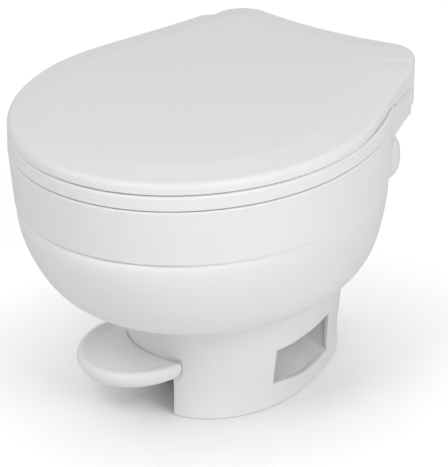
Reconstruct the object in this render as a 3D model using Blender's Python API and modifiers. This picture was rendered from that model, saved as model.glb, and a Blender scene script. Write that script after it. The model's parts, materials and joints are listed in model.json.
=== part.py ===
# A low foot-pedal toilet for a touring vehicle, in metres, +Z up, front towards -Y
# The origin is on the floor, at the middle of the toilet's length and width
import math

import bmesh
import bpy
from mathutils import Matrix, Vector

# Running clearances
CLEARANCE = 0.0003
GAPS_WITH_EXACT = ("seat", "bowl")
CUT_OVERRUN = 0.02
WALL = 0.0035
STATIONS = 36
ROUND_SIDES = 16
SMALL_SIDES = 12
SHARP_ANGLE = math.radians(32)

# Plan of the rim, lid and seat
RIM_HALF_WIDTH = 0.1855
FRONT_REACH = 0.2155
REAR_REACH = 0.2414
WIDEST_Y = -0.0205
LID_WAIST_INSET = 0.0527
LID_WAIST_SETBACK = 0.0379
LID_EAR_INSET = 0.0630
LID_OVERHANG = 0.0086
LID_CORNER_RADIUS = 0.0280
LID_REAR_SAG = 0.0085

# Heights from the floor up
BAND_BOTTOM_Z = 0.2506
BAND_HEIGHT = 0.0612
SEAT_GAP = 0.0014
SEAT_THICKNESS = 0.0158
LID_GAP = 0.0015

# Rim band and bowl
BAND_WALL = 0.0045
BAND_STEP = 0.0040
BAND_TAPER = 0.0031
BAND_FRONT_TAPER = 0.0094
SPIGOT_HEIGHT = 0.0127
RIM_EDGE_RADIUS = 0.0020
RIM_WIDTH = 0.0675
OPENING_FRONT_OVERHANG = 0.0100
OPENING_REAR_OVERHANG = 0.0070
OPENING_SETFORWARD = 0.0245
OPENING_EDGE_RADIUS = 0.0040
OUTLET_SETFORWARD = 0.0200
THROAT_RADIUS = 0.0280
THROAT_LENGTH = 0.0067
THROAT_GAP = 0.0017
THROAT_FLANGE_THICKNESS = 0.0040
BOWL_REACH_SHARES = (1.0, 0.97, 0.89, 0.76, 0.58, 0.36, 0.14, 0.0)
BOWL_HEIGHT_SHARES = (1.0, 0.84, 0.62, 0.43, 0.26, 0.125, 0.035, 0.0)

# Base: bulb, pedestal and foot
BULB_INSET = 0.0040
BULB_DEPTH = 0.1186
BULB_DROP_POWER = 1.667
BULB_REACH_POWER = 0.53
BULB_LAST_SHARE = 0.89
BULB_STEPS = 8
BULB_TUCK_SHARES = (1.0, 0.45, 0.12)
NECK_HALF_WIDTH = 0.0860
NECK_FRONT_REACH = 0.1250
NECK_REAR_INSET = 0.0059
FOOT_SIDE_INSET = 0.0059
FOOT_FRONT_INSET = 0.0032
FOOT_REAR_INSET = 0.0049
FOOT_SETFORWARD = 0.0125
FLARE_REACH_SHARES = (0.22, 0.12, 0.05, 0.0)
FLARE_HEIGHT_SHARES = (0.96, 0.90, 0.80, 0.62)
FOOT_STRAIGHT_HEIGHT = 0.0300
FOOT_BEAD_WIDTH = 0.0120
FOOT_BEAD_HEIGHT = 0.0090
LEDGE_THICKNESS = 0.0060
LEDGE_TOP_Z = 0.0255
LEDGE_RISE = 0.0110
WINDOW_LENGTH = 0.0970
WINDOW_HEIGHT = 0.0410
WINDOW_SETBACK = 0.0763
WINDOW_BOTTOM_Z = 0.0260
NOTCH_EDGE_X = -0.0010
NOTCH_DEPTH = 0.0560
NOTCH_TOP_Z = 0.0700
SLOT_EDGE_X = 0.0080
SLOT_BOTTOM_Z = 0.0430
SERVICE_HALF_LENGTH = 0.0600
SERVICE_HEIGHT = 0.0250

# Seat
SEAT_REAR_GAP = 0.0007
SEAT_HOLE_OVERLAP = 0.0130
SEAT_FRONT_WIDTH = 0.0510
SEAT_REAR_WIDTH = 0.0353
SEAT_EDGE_RADIUS = 0.0038
SEAT_INNER_RADIUS = 0.0060
SEAT_INNER_DROP = 0.0025
SEAT_WALL = 0.0032
BUMPER_LENGTH = 0.0220
BUMPER_WIDTH = 0.0100
BUMPER_POCKET = 0.0040
BUMPER_FRONT_SETBACK = 0.0350
BUMPER_REAR_SETFORWARD = 0.0230
BUMPER_RIM_SHARE = 0.5

# Lid
LID_WALL = 0.0032
LID_SIDE_HEIGHT = 0.0060
LID_EDGE_RADIUS = 0.0080
LID_BORDER_WIDTH = 0.0360
LID_BORDER_RISE = 0.0040
LID_PLATEAU_BLEND = 0.0120
LID_CROWN = 0.0022
LID_BUMPER_RADIUS = 0.0060

# Hinge deck and hinge
DECK_LENGTH = 0.1195
DECK_OVERHANG = 0.0026
DECK_HEIGHT = 0.0415
DECK_INSET = 0.0008
DECK_CORNER_RADIUS = 0.0250
DECK_WALL = 0.0034
HINGE_SETBACK = 0.0093
HINGE_RADIUS = 0.0058
HINGE_PIN_RADIUS = 0.0025
HINGE_PIN_HEAD_RADIUS = 0.0042
HINGE_PIN_HEAD = 0.0020
SEAT_ARM_INSET = 0.0445
SEAT_ARM_WIDTH = 0.0120
HINGE_LUG_WIDTH = 0.0065
LID_KNUCKLE_WIDTH = 0.0095
HINGE_SIDE_GAP = 0.0004
SCREW_RADIUS = 0.0022
SCREW_HEAD_RADIUS = 0.0042
SCREW_HEAD = 0.0026
DECK_SCREW_WALL_GAP = 0.0098
DECK_SCREW_SETBACK = 0.0260
DECK_SCREW_LENGTH = 0.0580
DECK_BOSS_RADIUS = 0.0100
DECK_BOSS_DEPTH = 0.0230

# Pedal, in the frame of the flush mechanism, which is turned about the outlet
MECHANISM_TURN = math.radians(-24)
PEDAL_PIVOT_Z = 0.0460
PEDAL_CENTRE_REACH = 0.1238
PEDAL_RADIUS = 0.0668
PEDAL_INNER_OVERREACH = 0.0022
PEDAL_INNER_ARC_RADIUS = 0.0980
PEDAL_CORNER_RUN = 0.0180
PEDAL_TOP_Z = 0.0670
PEDAL_FRONT_DROP = 0.0070
PEDAL_THICKNESS = 0.0200
PEDAL_DISH = 0.0035
PEDAL_LIP_RADIUS = 0.0050
PEDAL_ARM_X = 0.0285
PEDAL_ARM_WIDTH = 0.0080
PEDAL_ARM_HEIGHT = 0.0130
PEDAL_EYE_RADIUS = 0.0100
PEDAL_SHAFT_RADIUS = 0.0050
PEDAL_STATIONS = 20
PEDAL_BAR_REACH = 0.0190
PEDAL_BAR_THICKNESS = 0.0040

# Flush valve
GEAR_MODULE = 0.0020
GEAR_LINE_ANGLE = math.radians(30.56)
PINION_TEETH = 12
SECTOR_TEETH = 60
SECTOR_SHOWN_TEETH = 7
SECTOR_LEAD_TEETH = 2.5
GEAR_X = 0.0550
GEAR_WIDTH = 0.0080
GEAR_BACKLASH = 0.0005
GEAR_HUB_RADIUS = 0.0100
TOOTH_ROOT_SHARE = 1.25
BALL_RADIUS = 0.0400
BALL_WALL = 0.0030
BALL_HALF_ANGLE = math.radians(48)
BALL_CHEEK_HALF_WIDTH = 0.0072
VALVE_SHAFT_RADIUS = 0.0040
CHAMBER_GAP = 0.0040
CHAMBER_WALL = 0.0035
CHAMBER_FLANGE_WIDTH = 0.0105
CHAMBER_FLANGE_THICKNESS = 0.0040
CHAMBER_FLOOR_DROP = 0.0366
CHAMBER_TAPER = 0.0080
OUTLET_RADIUS = 0.0310
OUTLET_WALL = 0.0030
OUTLET_BOTTOM_Z = 0.0045
BRACKET_X = 0.0360
BRACKET_WIDTH = 0.0040
BRACKET_HEIGHT = 0.0200
SHAFT_BOSS_RADIUS = 0.0085
SHAFT_BOSS_LENGTH = 0.0040
BUSH_WALL = 0.0012
BUSH_FLANGE_RADIUS = 0.0078
BUSH_FLANGE = 0.0012
SEAL_SIDE_GAP = 0.0015
SEAL_LIP_WIDTH = 0.0057
SEAL_SKIRT_HEIGHT = 0.0120
SEAL_GAP = 0.0005
FLOOR_SEAL_WIDTH = 0.0140
FLOOR_SEAL_BOTTOM_Z = 0.0010
FLOOR_SEAL_HEIGHT = 0.0160
VALVE_SCREW_WALL_GAP = 0.0054
VALVE_SCREW_LENGTH = 0.0085
VALVE_SCREW_COUNT = 4
SPRING_WIRE_RADIUS = 0.0011
SPRING_RADIUS = 0.0068
SPRING_TURNS = 6
SPRING_PITCH = 0.0028
SPRING_TAIL = 0.0210
SPRING_STOP_HALF_WIDTH = 0.0140
SPRING_STOP_LENGTH = 0.0125
SPRING_STOP_HEIGHT = 0.0080
CIRCLIP_RADIUS = 0.0085
CIRCLIP_THICKNESS = 0.0015

# Water side
INLET_X = -0.0450
INLET_Z = 0.1650
INLET_RADIUS = 0.0105
INLET_BORE_RADIUS = 0.0065
INLET_STANDOFF = 0.0121
INLET_COLLAR_RADIUS = 0.0150
INLET_COLLAR = 0.0060
WATER_VALVE_SETFORWARD = 0.0659
WATER_VALVE_SIZE = Vector((0.0440, 0.0340, 0.0380))
WATER_VALVE_CAP_RADIUS = 0.0140
WATER_VALVE_CAP = 0.0100
BREAKER_X = 0.0300
BREAKER_SETFORWARD = 0.0070
BREAKER_BOTTOM_Z = 0.2250
BREAKER_RADIUS = 0.0160
BREAKER_HEIGHT = 0.0420
BREAKER_CAP_RADIUS = 0.0190
BREAKER_CAP = 0.0100
HOSE_RADIUS = 0.0065
HOSE_WALL = 0.0017
HOSE_HANDLE_SHARE = 0.4
HOSE_STEPS = 7
SPIGOT_RADIUS = 0.0038
SPIGOT_LENGTH = 0.0120
NOZZLE_DROP = 0.0300
NOZZLE_RADIUS = 0.0075
NOZZLE_FLANGE_RADIUS = 0.0120
NOZZLE_FLANGE = 0.0030
COVER_HALF_LENGTH = 0.1030
COVER_HEIGHT = 0.0600
COVER_TOP_GAP = 0.0006
COVER_STANDOFF = 0.0081
COVER_DEPTH = 0.1000
COVER_ROUND = 0.0200
COVER_WALL = 0.0030

# Heights worked out from the sizes above
RIM_TOP_Z = BAND_BOTTOM_Z + BAND_HEIGHT
SEAT_BOTTOM_Z = RIM_TOP_Z + SEAT_GAP
SEAT_TOP_Z = SEAT_BOTTOM_Z + SEAT_THICKNESS
LID_BOTTOM_Z = SEAT_TOP_Z + LID_GAP
DECK_TOP_Z = SEAT_TOP_Z
DECK_BOTTOM_Z = DECK_TOP_Z - DECK_HEIGHT
HINGE_Z = SEAT_BOTTOM_Z + SEAT_THICKNESS / 2
NOZZLE_Z = RIM_TOP_Z - NOZZLE_DROP
COVER_TOP_Z = BAND_BOTTOM_Z - COVER_TOP_GAP

# Places along the length, each from the one that carries it
RIM_FRONT_Y = WIDEST_Y - FRONT_REACH
RIM_REAR_Y = WIDEST_Y + REAR_REACH
LID_WAIST_Y = RIM_REAR_Y - LID_WAIST_SETBACK
LID_REAR_Y = RIM_REAR_Y + LID_OVERHANG
HINGE_Y = RIM_REAR_Y + HINGE_SETBACK
DECK_REAR_Y = RIM_REAR_Y + DECK_OVERHANG
DECK_FRONT_Y = DECK_REAR_Y - DECK_LENGTH
DECK_SCREW_Y = DECK_FRONT_Y + DECK_SCREW_SETBACK
SEAT_REAR_Y = DECK_FRONT_Y - SEAT_REAR_GAP
SEAT_HOLE_REAR_Y = SEAT_REAR_Y - SEAT_REAR_WIDTH
SEAT_HOLE_FRONT_Y = RIM_FRONT_Y + SEAT_FRONT_WIDTH
OPENING_REAR_Y = SEAT_HOLE_REAR_Y + OPENING_REAR_OVERHANG
OPENING_FRONT_Y = SEAT_HOLE_FRONT_Y - OPENING_FRONT_OVERHANG
OPENING_WIDEST_Y = WIDEST_Y - OPENING_SETFORWARD
BUMPER_FRONT_Y = SEAT_HOLE_FRONT_Y + BUMPER_FRONT_SETBACK
BUMPER_REAR_Y = SEAT_HOLE_REAR_Y - BUMPER_REAR_SETFORWARD
OUTLET_Y = OPENING_REAR_Y - OUTLET_SETFORWARD
NECK_FRONT_Y = OUTLET_Y - NECK_FRONT_REACH
NECK_REAR_Y = RIM_REAR_Y - NECK_REAR_INSET
FOOT_FRONT_Y = NECK_FRONT_Y + FOOT_FRONT_INSET
FOOT_REAR_Y = NECK_REAR_Y - FOOT_REAR_INSET
FOOT_WIDEST_Y = OUTLET_Y - FOOT_SETFORWARD
WINDOW_FRONT_Y = FOOT_FRONT_Y + WINDOW_SETBACK
COVER_REAR_Y = RIM_REAR_Y + COVER_STANDOFF
INLET_END_Y = RIM_REAR_Y + INLET_STANDOFF
WATER_VALVE_Y = RIM_REAR_Y - WATER_VALVE_SETFORWARD
BREAKER_Y = WATER_VALVE_Y - BREAKER_SETFORWARD

# Widths
LID_HALF_WIDTH = RIM_HALF_WIDTH
LID_WAIST_X = RIM_HALF_WIDTH - LID_WAIST_INSET
LID_EAR_X = RIM_HALF_WIDTH - LID_EAR_INSET
SEAT_ARM_X = LID_EAR_X - SEAT_ARM_INSET
OPENING_HALF_WIDTH = RIM_HALF_WIDTH - RIM_WIDTH
SEAT_HOLE_HALF_WIDTH = OPENING_HALF_WIDTH - SEAT_HOLE_OVERLAP
FOOT_HALF_WIDTH = NECK_HALF_WIDTH - FOOT_SIDE_INSET
DECK_SCREW_X = (RIM_HALF_WIDTH * math.sqrt(1 - ((DECK_SCREW_Y - WIDEST_Y) / REAR_REACH) ** 2)
                - BAND_WALL - BAND_STEP - DECK_SCREW_WALL_GAP)

# Flush mechanism
PEDAL_INNER_REACH = PEDAL_CENTRE_REACH + PEDAL_INNER_OVERREACH
GEAR_CENTRES = GEAR_MODULE * (PINION_TEETH + SECTOR_TEETH) / 2
PEDAL_PIVOT_REACH = GEAR_CENTRES * math.cos(GEAR_LINE_ANGLE)
BALL_Z = PEDAL_PIVOT_Z + GEAR_CENTRES * math.sin(GEAR_LINE_ANGLE)
THROAT_BOTTOM_Z = BALL_Z + BALL_RADIUS + THROAT_GAP
THROAT_TOP_Z = THROAT_BOTTOM_Z + THROAT_LENGTH
CHAMBER_RADIUS = BALL_RADIUS + CHAMBER_GAP
CHAMBER_OUTER_RADIUS = CHAMBER_RADIUS + CHAMBER_WALL
CHAMBER_FLANGE_RADIUS = CHAMBER_OUTER_RADIUS + CHAMBER_FLANGE_WIDTH
CHAMBER_FLOOR_Z = BALL_Z - CHAMBER_FLOOR_DROP
BRACKET_ROOT_REACH = math.sqrt(CHAMBER_OUTER_RADIUS ** 2 - (BRACKET_X + BRACKET_WIDTH / 2) ** 2) - CLEARANCE
SEAL_OUTER_RADIUS = CHAMBER_RADIUS - SEAL_SIDE_GAP
SEAL_INNER_RADIUS = THROAT_RADIUS + CLEARANCE
SEAL_LIP_RADIUS = SEAL_INNER_RADIUS + SEAL_LIP_WIDTH
VALVE_SCREW_CIRCLE = CHAMBER_OUTER_RADIUS + VALVE_SCREW_WALL_GAP


# Scene helpers

def start_scene():
    for item in list(bpy.data.objects):
        bpy.data.objects.remove(item)
    parts = bpy.data.collections.new("foot_pedal_toilet")
    cutters = bpy.data.collections.new("cutters")
    bpy.context.scene.collection.children.link(parts)
    bpy.context.scene.collection.children.link(cutters)
    return parts, cutters


def finish(name, colour, roughness, metallic=0.0):
    made = bpy.data.materials.new(name + "_finish")
    made.use_nodes = True
    shader = made.node_tree.nodes["Principled BSDF"]
    shader.inputs["Base Color"].default_value = (*colour, 1.0)
    shader.inputs["Roughness"].default_value = roughness
    shader.inputs["Metallic"].default_value = metallic
    return made


PARTS, CUTTERS = start_scene()
WHITE = {"colour": (0.86, 0.86, 0.86), "roughness": 0.32}
INNER_WHITE = {"colour": (0.74, 0.74, 0.73), "roughness": 0.45}
GREY = {"colour": (0.42, 0.43, 0.44), "roughness": 0.5}
BLACK = {"colour": (0.03, 0.03, 0.03), "roughness": 0.8}
CLEAR_HOSE = {"colour": (0.62, 0.64, 0.66), "roughness": 0.4}
STEEL = {"colour": (0.62, 0.62, 0.63), "roughness": 0.3, "metallic": 1.0}


def add_object(name, mesh, material, parent=None, collection=None):
    item = bpy.data.objects.new(name, mesh)
    (collection or PARTS).objects.link(item)
    if material:
        mesh.materials.clear()
        mesh.materials.append(finish(name, **material))
    item.parent = parent
    return item


def from_bmesh(name, bm, material, parent=None):
    bmesh.ops.recalc_face_normals(bm, faces=bm.faces)
    mesh = bpy.data.meshes.new(name)
    bm.to_mesh(mesh)
    bm.free()
    mesh.shade_smooth()
    mesh.set_sharp_from_angle(angle=SHARP_ANGLE)
    return add_object(name, mesh, material, parent)


def use_solver(target, tool, operation):
    """Cut or join with the exact solver, or with the manifold one where that leaves gaps, the tool put away"""
    for home in list(tool.users_collection):
        home.objects.unlink(tool)
    CUTTERS.objects.link(tool)
    tool.hide_render = True
    tool.display_type = "WIRE"
    step = target.modifiers.new(operation.lower(), "BOOLEAN")
    step.operation = operation
    step.solver = "MANIFOLD" if target.name in GAPS_WITH_EXACT else "EXACT"
    step.object = tool


def cut(target, *tools):
    for tool in tools:
        use_solver(target, tool, "DIFFERENCE")


def join(target, *tools):
    for tool in tools:
        use_solver(target, tool, "UNION")


def block(name, low, high, material=None, parent=None):
    bm = bmesh.new()
    bmesh.ops.create_cube(bm, size=1.0)
    size = Vector(high) - Vector(low)
    bmesh.ops.scale(bm, vec=size, verts=bm.verts)
    bmesh.ops.translate(bm, vec=(Vector(low) + Vector(high)) / 2, verts=bm.verts)
    return from_bmesh(name, bm, material, parent)


def rod(name, start, end, radius, material=None, parent=None, sides=ROUND_SIDES):
    """A round bar between two points"""
    start, end = Vector(start), Vector(end)
    along = end - start
    bm = bmesh.new()
    bmesh.ops.create_cone(bm, cap_ends=True, segments=sides, radius1=radius, radius2=radius,
                          depth=along.length)
    turn = Vector((0, 0, 1)).rotation_difference(along).to_matrix().to_4x4()
    bmesh.ops.transform(bm, matrix=Matrix.Translation((start + end) / 2) @ turn, verts=bm.verts)
    return from_bmesh(name, bm, material, parent)


def plate(name, outline, bottom, top, material=None, parent=None, holes=()):
    """A flat outline in X and Y made solid between two heights"""
    curve = bpy.data.curves.new(name, "CURVE")
    curve.dimensions = "2D"
    curve.fill_mode = "BOTH"
    curve.extrude = (top - bottom) / 2
    for loop in (outline, *holes):
        spline = curve.splines.new("POLY")
        spline.points.add(len(loop) - 1)
        for point, place in zip(spline.points, loop):
            point.co = (place[0], place[1], 0, 1)
        spline.use_cyclic_u = True
    drawn = bpy.data.objects.new(name + "_outline", curve)
    CUTTERS.objects.link(drawn)
    bpy.context.view_layer.update()
    mesh = bpy.data.meshes.new_from_object(drawn.evaluated_get(bpy.context.evaluated_depsgraph_get()))
    bpy.data.objects.remove(drawn)
    bm = bmesh.new()
    bm.from_mesh(mesh)
    bpy.data.meshes.remove(mesh)
    bmesh.ops.remove_doubles(bm, verts=bm.verts, dist=CLEARANCE / 10)
    bmesh.ops.translate(bm, vec=(0, 0, (top + bottom) / 2), verts=bm.verts)
    return from_bmesh(name, bm, material, parent)


def turned(name, profile, material, parent=None, sides=ROUND_SIDES + ROUND_SIDES // 2):
    """A closed profile of radius and height, outer side first and downwards, turned about Z"""
    mesh = bpy.data.meshes.new(name)
    count = len(profile)
    mesh.from_pydata([(radius, 0, height) for radius, height in profile],
                     [(i, (i + 1) % count) for i in range(count)], [])
    item = add_object(name, mesh, material, parent)
    screw = item.modifiers.new("turn", "SCREW")
    screw.axis = "Z"
    screw.steps = sides
    screw.render_steps = sides
    screw.use_merge_vertices = True
    screw.merge_threshold = CLEARANCE / 30
    screw.use_smooth_shade = True
    return item


def loft(name, rings, material, parent=None, cyclic=False, open_ends=False):
    """Rings of the same number of points joined by faces"""
    bm = bmesh.new()
    rows = [[bm.verts.new(point) for point in ring] for ring in rings]
    pairs = list(zip(rows, rows[1:]))
    if cyclic:
        pairs.append((rows[-1], rows[0]))
    for upper, lower in pairs:
        count = len(upper)
        for i in range(count):
            j = (i + 1) % count
            bm.faces.new((upper[i], upper[j], lower[j], lower[i]))
    if not cyclic and not open_ends:
        bm.faces.new(rows[0])
        bm.faces.new(rows[-1])
    return from_bmesh(name, bm, material, parent)


# Outlines and rings

def egg(half_width, front_y, rear_y, widest_y, count=STATIONS):
    """An oval whose front and rear halves have their own lengths, from the front centre round"""
    points = []
    for i in range(count):
        turn = 2 * math.pi * i / count - math.pi / 2
        reach = widest_y - front_y if math.sin(turn) < 0 else rear_y - widest_y
        points.append((half_width * math.cos(turn), widest_y + reach * math.sin(turn)))
    return points


def rim_egg(inset):
    return egg(RIM_HALF_WIDTH - inset, RIM_FRONT_Y + inset, RIM_REAR_Y - inset, WIDEST_Y)


def band_foot_egg(inset):
    """The band's lower edge, which stands back from its upper edge"""
    return egg(RIM_HALF_WIDTH - BAND_TAPER - inset, RIM_FRONT_Y + BAND_FRONT_TAPER + inset,
               RIM_REAR_Y - BAND_TAPER - inset, WIDEST_Y)


def opening_egg(grow):
    return egg(OPENING_HALF_WIDTH + grow, OPENING_FRONT_Y - grow, OPENING_REAR_Y + grow,
               OPENING_WIDEST_Y)


def circle_at(radius, x=0.0, y=0.0, count=STATIONS):
    return egg(radius, y - radius, y + radius, y, count) if x == 0.0 else [
        (x + px, py) for px, py in egg(radius, y - radius, y + radius, y, count)]


def lift(points, z):
    return [Vector((x, y, z)) for x, y in points]


def mix(first, second, share):
    """Points part of the way from the second outline to the first"""
    return [(bx + (ax - bx) * share, by + (ay - by) * share)
            for (ax, ay), (bx, by) in zip(first, second)]


def towards(first, second, distance):
    """Points a set distance from the first outline, straight towards the second"""
    moved = []
    for (ax, ay), (bx, by) in zip(first, second):
        length = math.hypot(bx - ax, by - ay)
        moved.append((ax + (bx - ax) * distance / length, ay + (by - ay) * distance / length))
    return moved


def bezier(p0, p1, p2, p3, count):
    """Points of a cubic curve without its last one"""
    points = []
    for i in range(count):
        t = i / count
        s = 1 - t
        points.append(tuple(s ** 3 * a + 3 * s * s * t * b + 3 * s * t * t * c + t ** 3 * d
                            for a, b, c, d in zip(p0, p1, p2, p3)))
    return points


def arc(cx, cy, radius, first, last, count):
    return [(cx + radius * math.cos(first + (last - first) * i / count),
             cy + radius * math.sin(first + (last - first) * i / count)) for i in range(count)]


def lid_outline():
    """Round front, sides drawn in to a waist, and square rear corners with a hollow rear edge"""
    front_handle_share = 0.5523
    side_handle_share = 0.28
    waist_handle_share = 0.45
    front_y = RIM_FRONT_Y
    side_run = LID_WAIST_Y - WIDEST_Y
    ear_y = LID_REAR_Y - LID_CORNER_RADIUS
    half = bezier((0, front_y), (LID_HALF_WIDTH * front_handle_share, front_y),
                  (LID_HALF_WIDTH, WIDEST_Y - FRONT_REACH * front_handle_share),
                  (LID_HALF_WIDTH, WIDEST_Y), 9)
    half += bezier((LID_HALF_WIDTH, WIDEST_Y), (LID_HALF_WIDTH, WIDEST_Y + side_run * side_handle_share),
                   (LID_WAIST_X + (LID_HALF_WIDTH - LID_WAIST_X) * waist_handle_share,
                    LID_WAIST_Y - side_run * waist_handle_share),
                   (LID_WAIST_X, LID_WAIST_Y), 6)
    half += bezier((LID_WAIST_X, LID_WAIST_Y),
                   (LID_EAR_X + (LID_WAIST_X - LID_EAR_X) / 3, LID_WAIST_Y + (ear_y - LID_WAIST_Y) / 3),
                   (LID_EAR_X, ear_y - (ear_y - LID_WAIST_Y) / 3), (LID_EAR_X, ear_y), 2)
    half += arc(LID_EAR_X - LID_CORNER_RADIUS, ear_y, LID_CORNER_RADIUS, 0, math.pi / 2, 4)
    rear_x = LID_EAR_X - LID_CORNER_RADIUS
    for i in range(4):
        share = 1 - i / 4
        half.append((rear_x * share, LID_REAR_Y - LID_REAR_SAG * (1 - share * share)))
    half.append((0, LID_REAR_Y - LID_REAR_SAG))
    return half + [(-x, y) for x, y in reversed(half[1:-1])]


def outline_x(outline, y):
    """Half width of an outline at a place along its side"""
    for (ax, ay), (bx, by) in zip(outline, outline[1:]):
        if ay <= y <= by and ax > 0:
            return ax + (bx - ax) * (y - ay) / (by - ay)
    raise ValueError("the outline does not reach this far")


def shrink(outline, distance):
    """Each point moved straight towards the middle of the lid"""
    return [(x * (1 - distance / math.hypot(x, y)), y * (1 - distance / math.hypot(x, y)))
            for x, y in outline]


def offset_rings(rings, distance):
    """Rings listed downwards moved along their surface's normal, outwards where positive"""
    moved = []
    for k, ring in enumerate(rings):
        above, below = rings[max(k - 1, 0)], rings[min(k + 1, len(rings) - 1)]
        count = len(ring)
        row = []
        for i, point in enumerate(ring):
            along = ring[(i + 1) % count] - ring[i - 1]
            down = below[i] - above[i]
            row.append(point + down.cross(along).normalized() * distance)
        moved.append(row)
    return moved


# Base

def bulb_rings(grow=0.0):
    """The outer skin of the base, from inside the rim band down to the floor"""
    rim = rim_egg(BULB_INSET - grow)
    tuck = band_foot_egg(BAND_WALL + CLEARANCE - grow)
    neck = egg(NECK_HALF_WIDTH + grow, NECK_FRONT_Y - grow, NECK_REAR_Y + grow, FOOT_WIDEST_Y)
    foot = foot_egg(-grow)
    under_z = BAND_BOTTOM_Z - BULB_DEPTH
    rings = [lift(tuck, BAND_BOTTOM_Z + SPIGOT_HEIGHT - CLEARANCE)]
    for k in range(BULB_STEPS + 1):
        turn = math.pi / 2 * BULB_LAST_SHARE * k / BULB_STEPS
        z = BAND_BOTTOM_Z - BULB_DEPTH * math.sin(turn) ** BULB_DROP_POWER
        start = mix(tuck, rim, BULB_TUCK_SHARES[k]) if k < len(BULB_TUCK_SHARES) else rim
        rings.append(lift(mix(start, neck, math.cos(turn) ** BULB_REACH_POWER), z))
    for reach, height in zip(FLARE_REACH_SHARES, FLARE_HEIGHT_SHARES):
        rings.append(lift(mix(rim, neck, reach), under_z * height))
    rings.append(lift(foot, FOOT_STRAIGHT_HEIGHT))
    rings.append(lift(foot, 0))
    return rings


def foot_egg(inset):
    return egg(FOOT_HALF_WIDTH - inset, FOOT_FRONT_Y + inset, FOOT_REAR_Y - inset, FOOT_WIDEST_Y)


def make_base():
    """Bulb, pedestal and foot as one skin, with a bead round the floor and a ledge that rises to the outlet"""
    skin = bulb_rings()
    inside = offset_rings(skin, -WALL)
    inside = inside[:BULB_STEPS:2] + inside[BULB_STEPS:-1]
    wall, bead = foot_egg(WALL), foot_egg(FOOT_BEAD_WIDTH)
    outlet = circle_at(OUTLET_RADIUS + OUTLET_WALL + CLEARANCE, y=OUTLET_Y)
    ledge = [lift(bead, 0), lift(bead, FOOT_BEAD_HEIGHT), lift(wall, FOOT_BEAD_HEIGHT),
             lift(wall, LEDGE_TOP_Z - LEDGE_THICKNESS), lift(outlet, LEDGE_TOP_Z + LEDGE_RISE - LEDGE_THICKNESS),
             lift(outlet, LEDGE_TOP_Z + LEDGE_RISE), lift(wall, LEDGE_TOP_Z)]
    base = loft("base_shell", skin + ledge + list(reversed(inside)), WHITE, cyclic=True)
    window = block("window_way",
                   (-FOOT_HALF_WIDTH - CUT_OVERRUN, WINDOW_FRONT_Y, WINDOW_BOTTOM_Z),
                   (FOOT_HALF_WIDTH + CUT_OVERRUN, WINDOW_FRONT_Y + WINDOW_LENGTH,
                    WINDOW_BOTTOM_Z + WINDOW_HEIGHT))
    notch = block("pedal_notch", (-FOOT_HALF_WIDTH - CUT_OVERRUN, FOOT_FRONT_Y - CUT_OVERRUN, -CUT_OVERRUN),
                  (NOTCH_EDGE_X, FOOT_FRONT_Y + NOTCH_DEPTH, NOTCH_TOP_Z))
    slot = block("pedal_slot", (NOTCH_EDGE_X - CUT_OVERRUN, FOOT_FRONT_Y - CUT_OVERRUN, SLOT_BOTTOM_Z),
                 (SLOT_EDGE_X, FOOT_FRONT_Y + CUT_OVERRUN, NOTCH_TOP_Z))
    inlet = rod("inlet_way", (INLET_X, INLET_END_Y + CUT_OVERRUN, INLET_Z),
                (INLET_X, WATER_VALVE_Y, INLET_Z), INLET_RADIUS + CLEARANCE)
    service_z = COVER_TOP_Z - COVER_HEIGHT / 2
    service = block("service_way", (-SERVICE_HALF_LENGTH, WATER_VALVE_Y, service_z - SERVICE_HEIGHT / 2),
                    (SERVICE_HALF_LENGTH, COVER_REAR_Y + CUT_OVERRUN, service_z + SERVICE_HEIGHT / 2))
    cut(base, window)
    cut(base, notch, slot, inlet, service)
    return base


# Bowl

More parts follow.
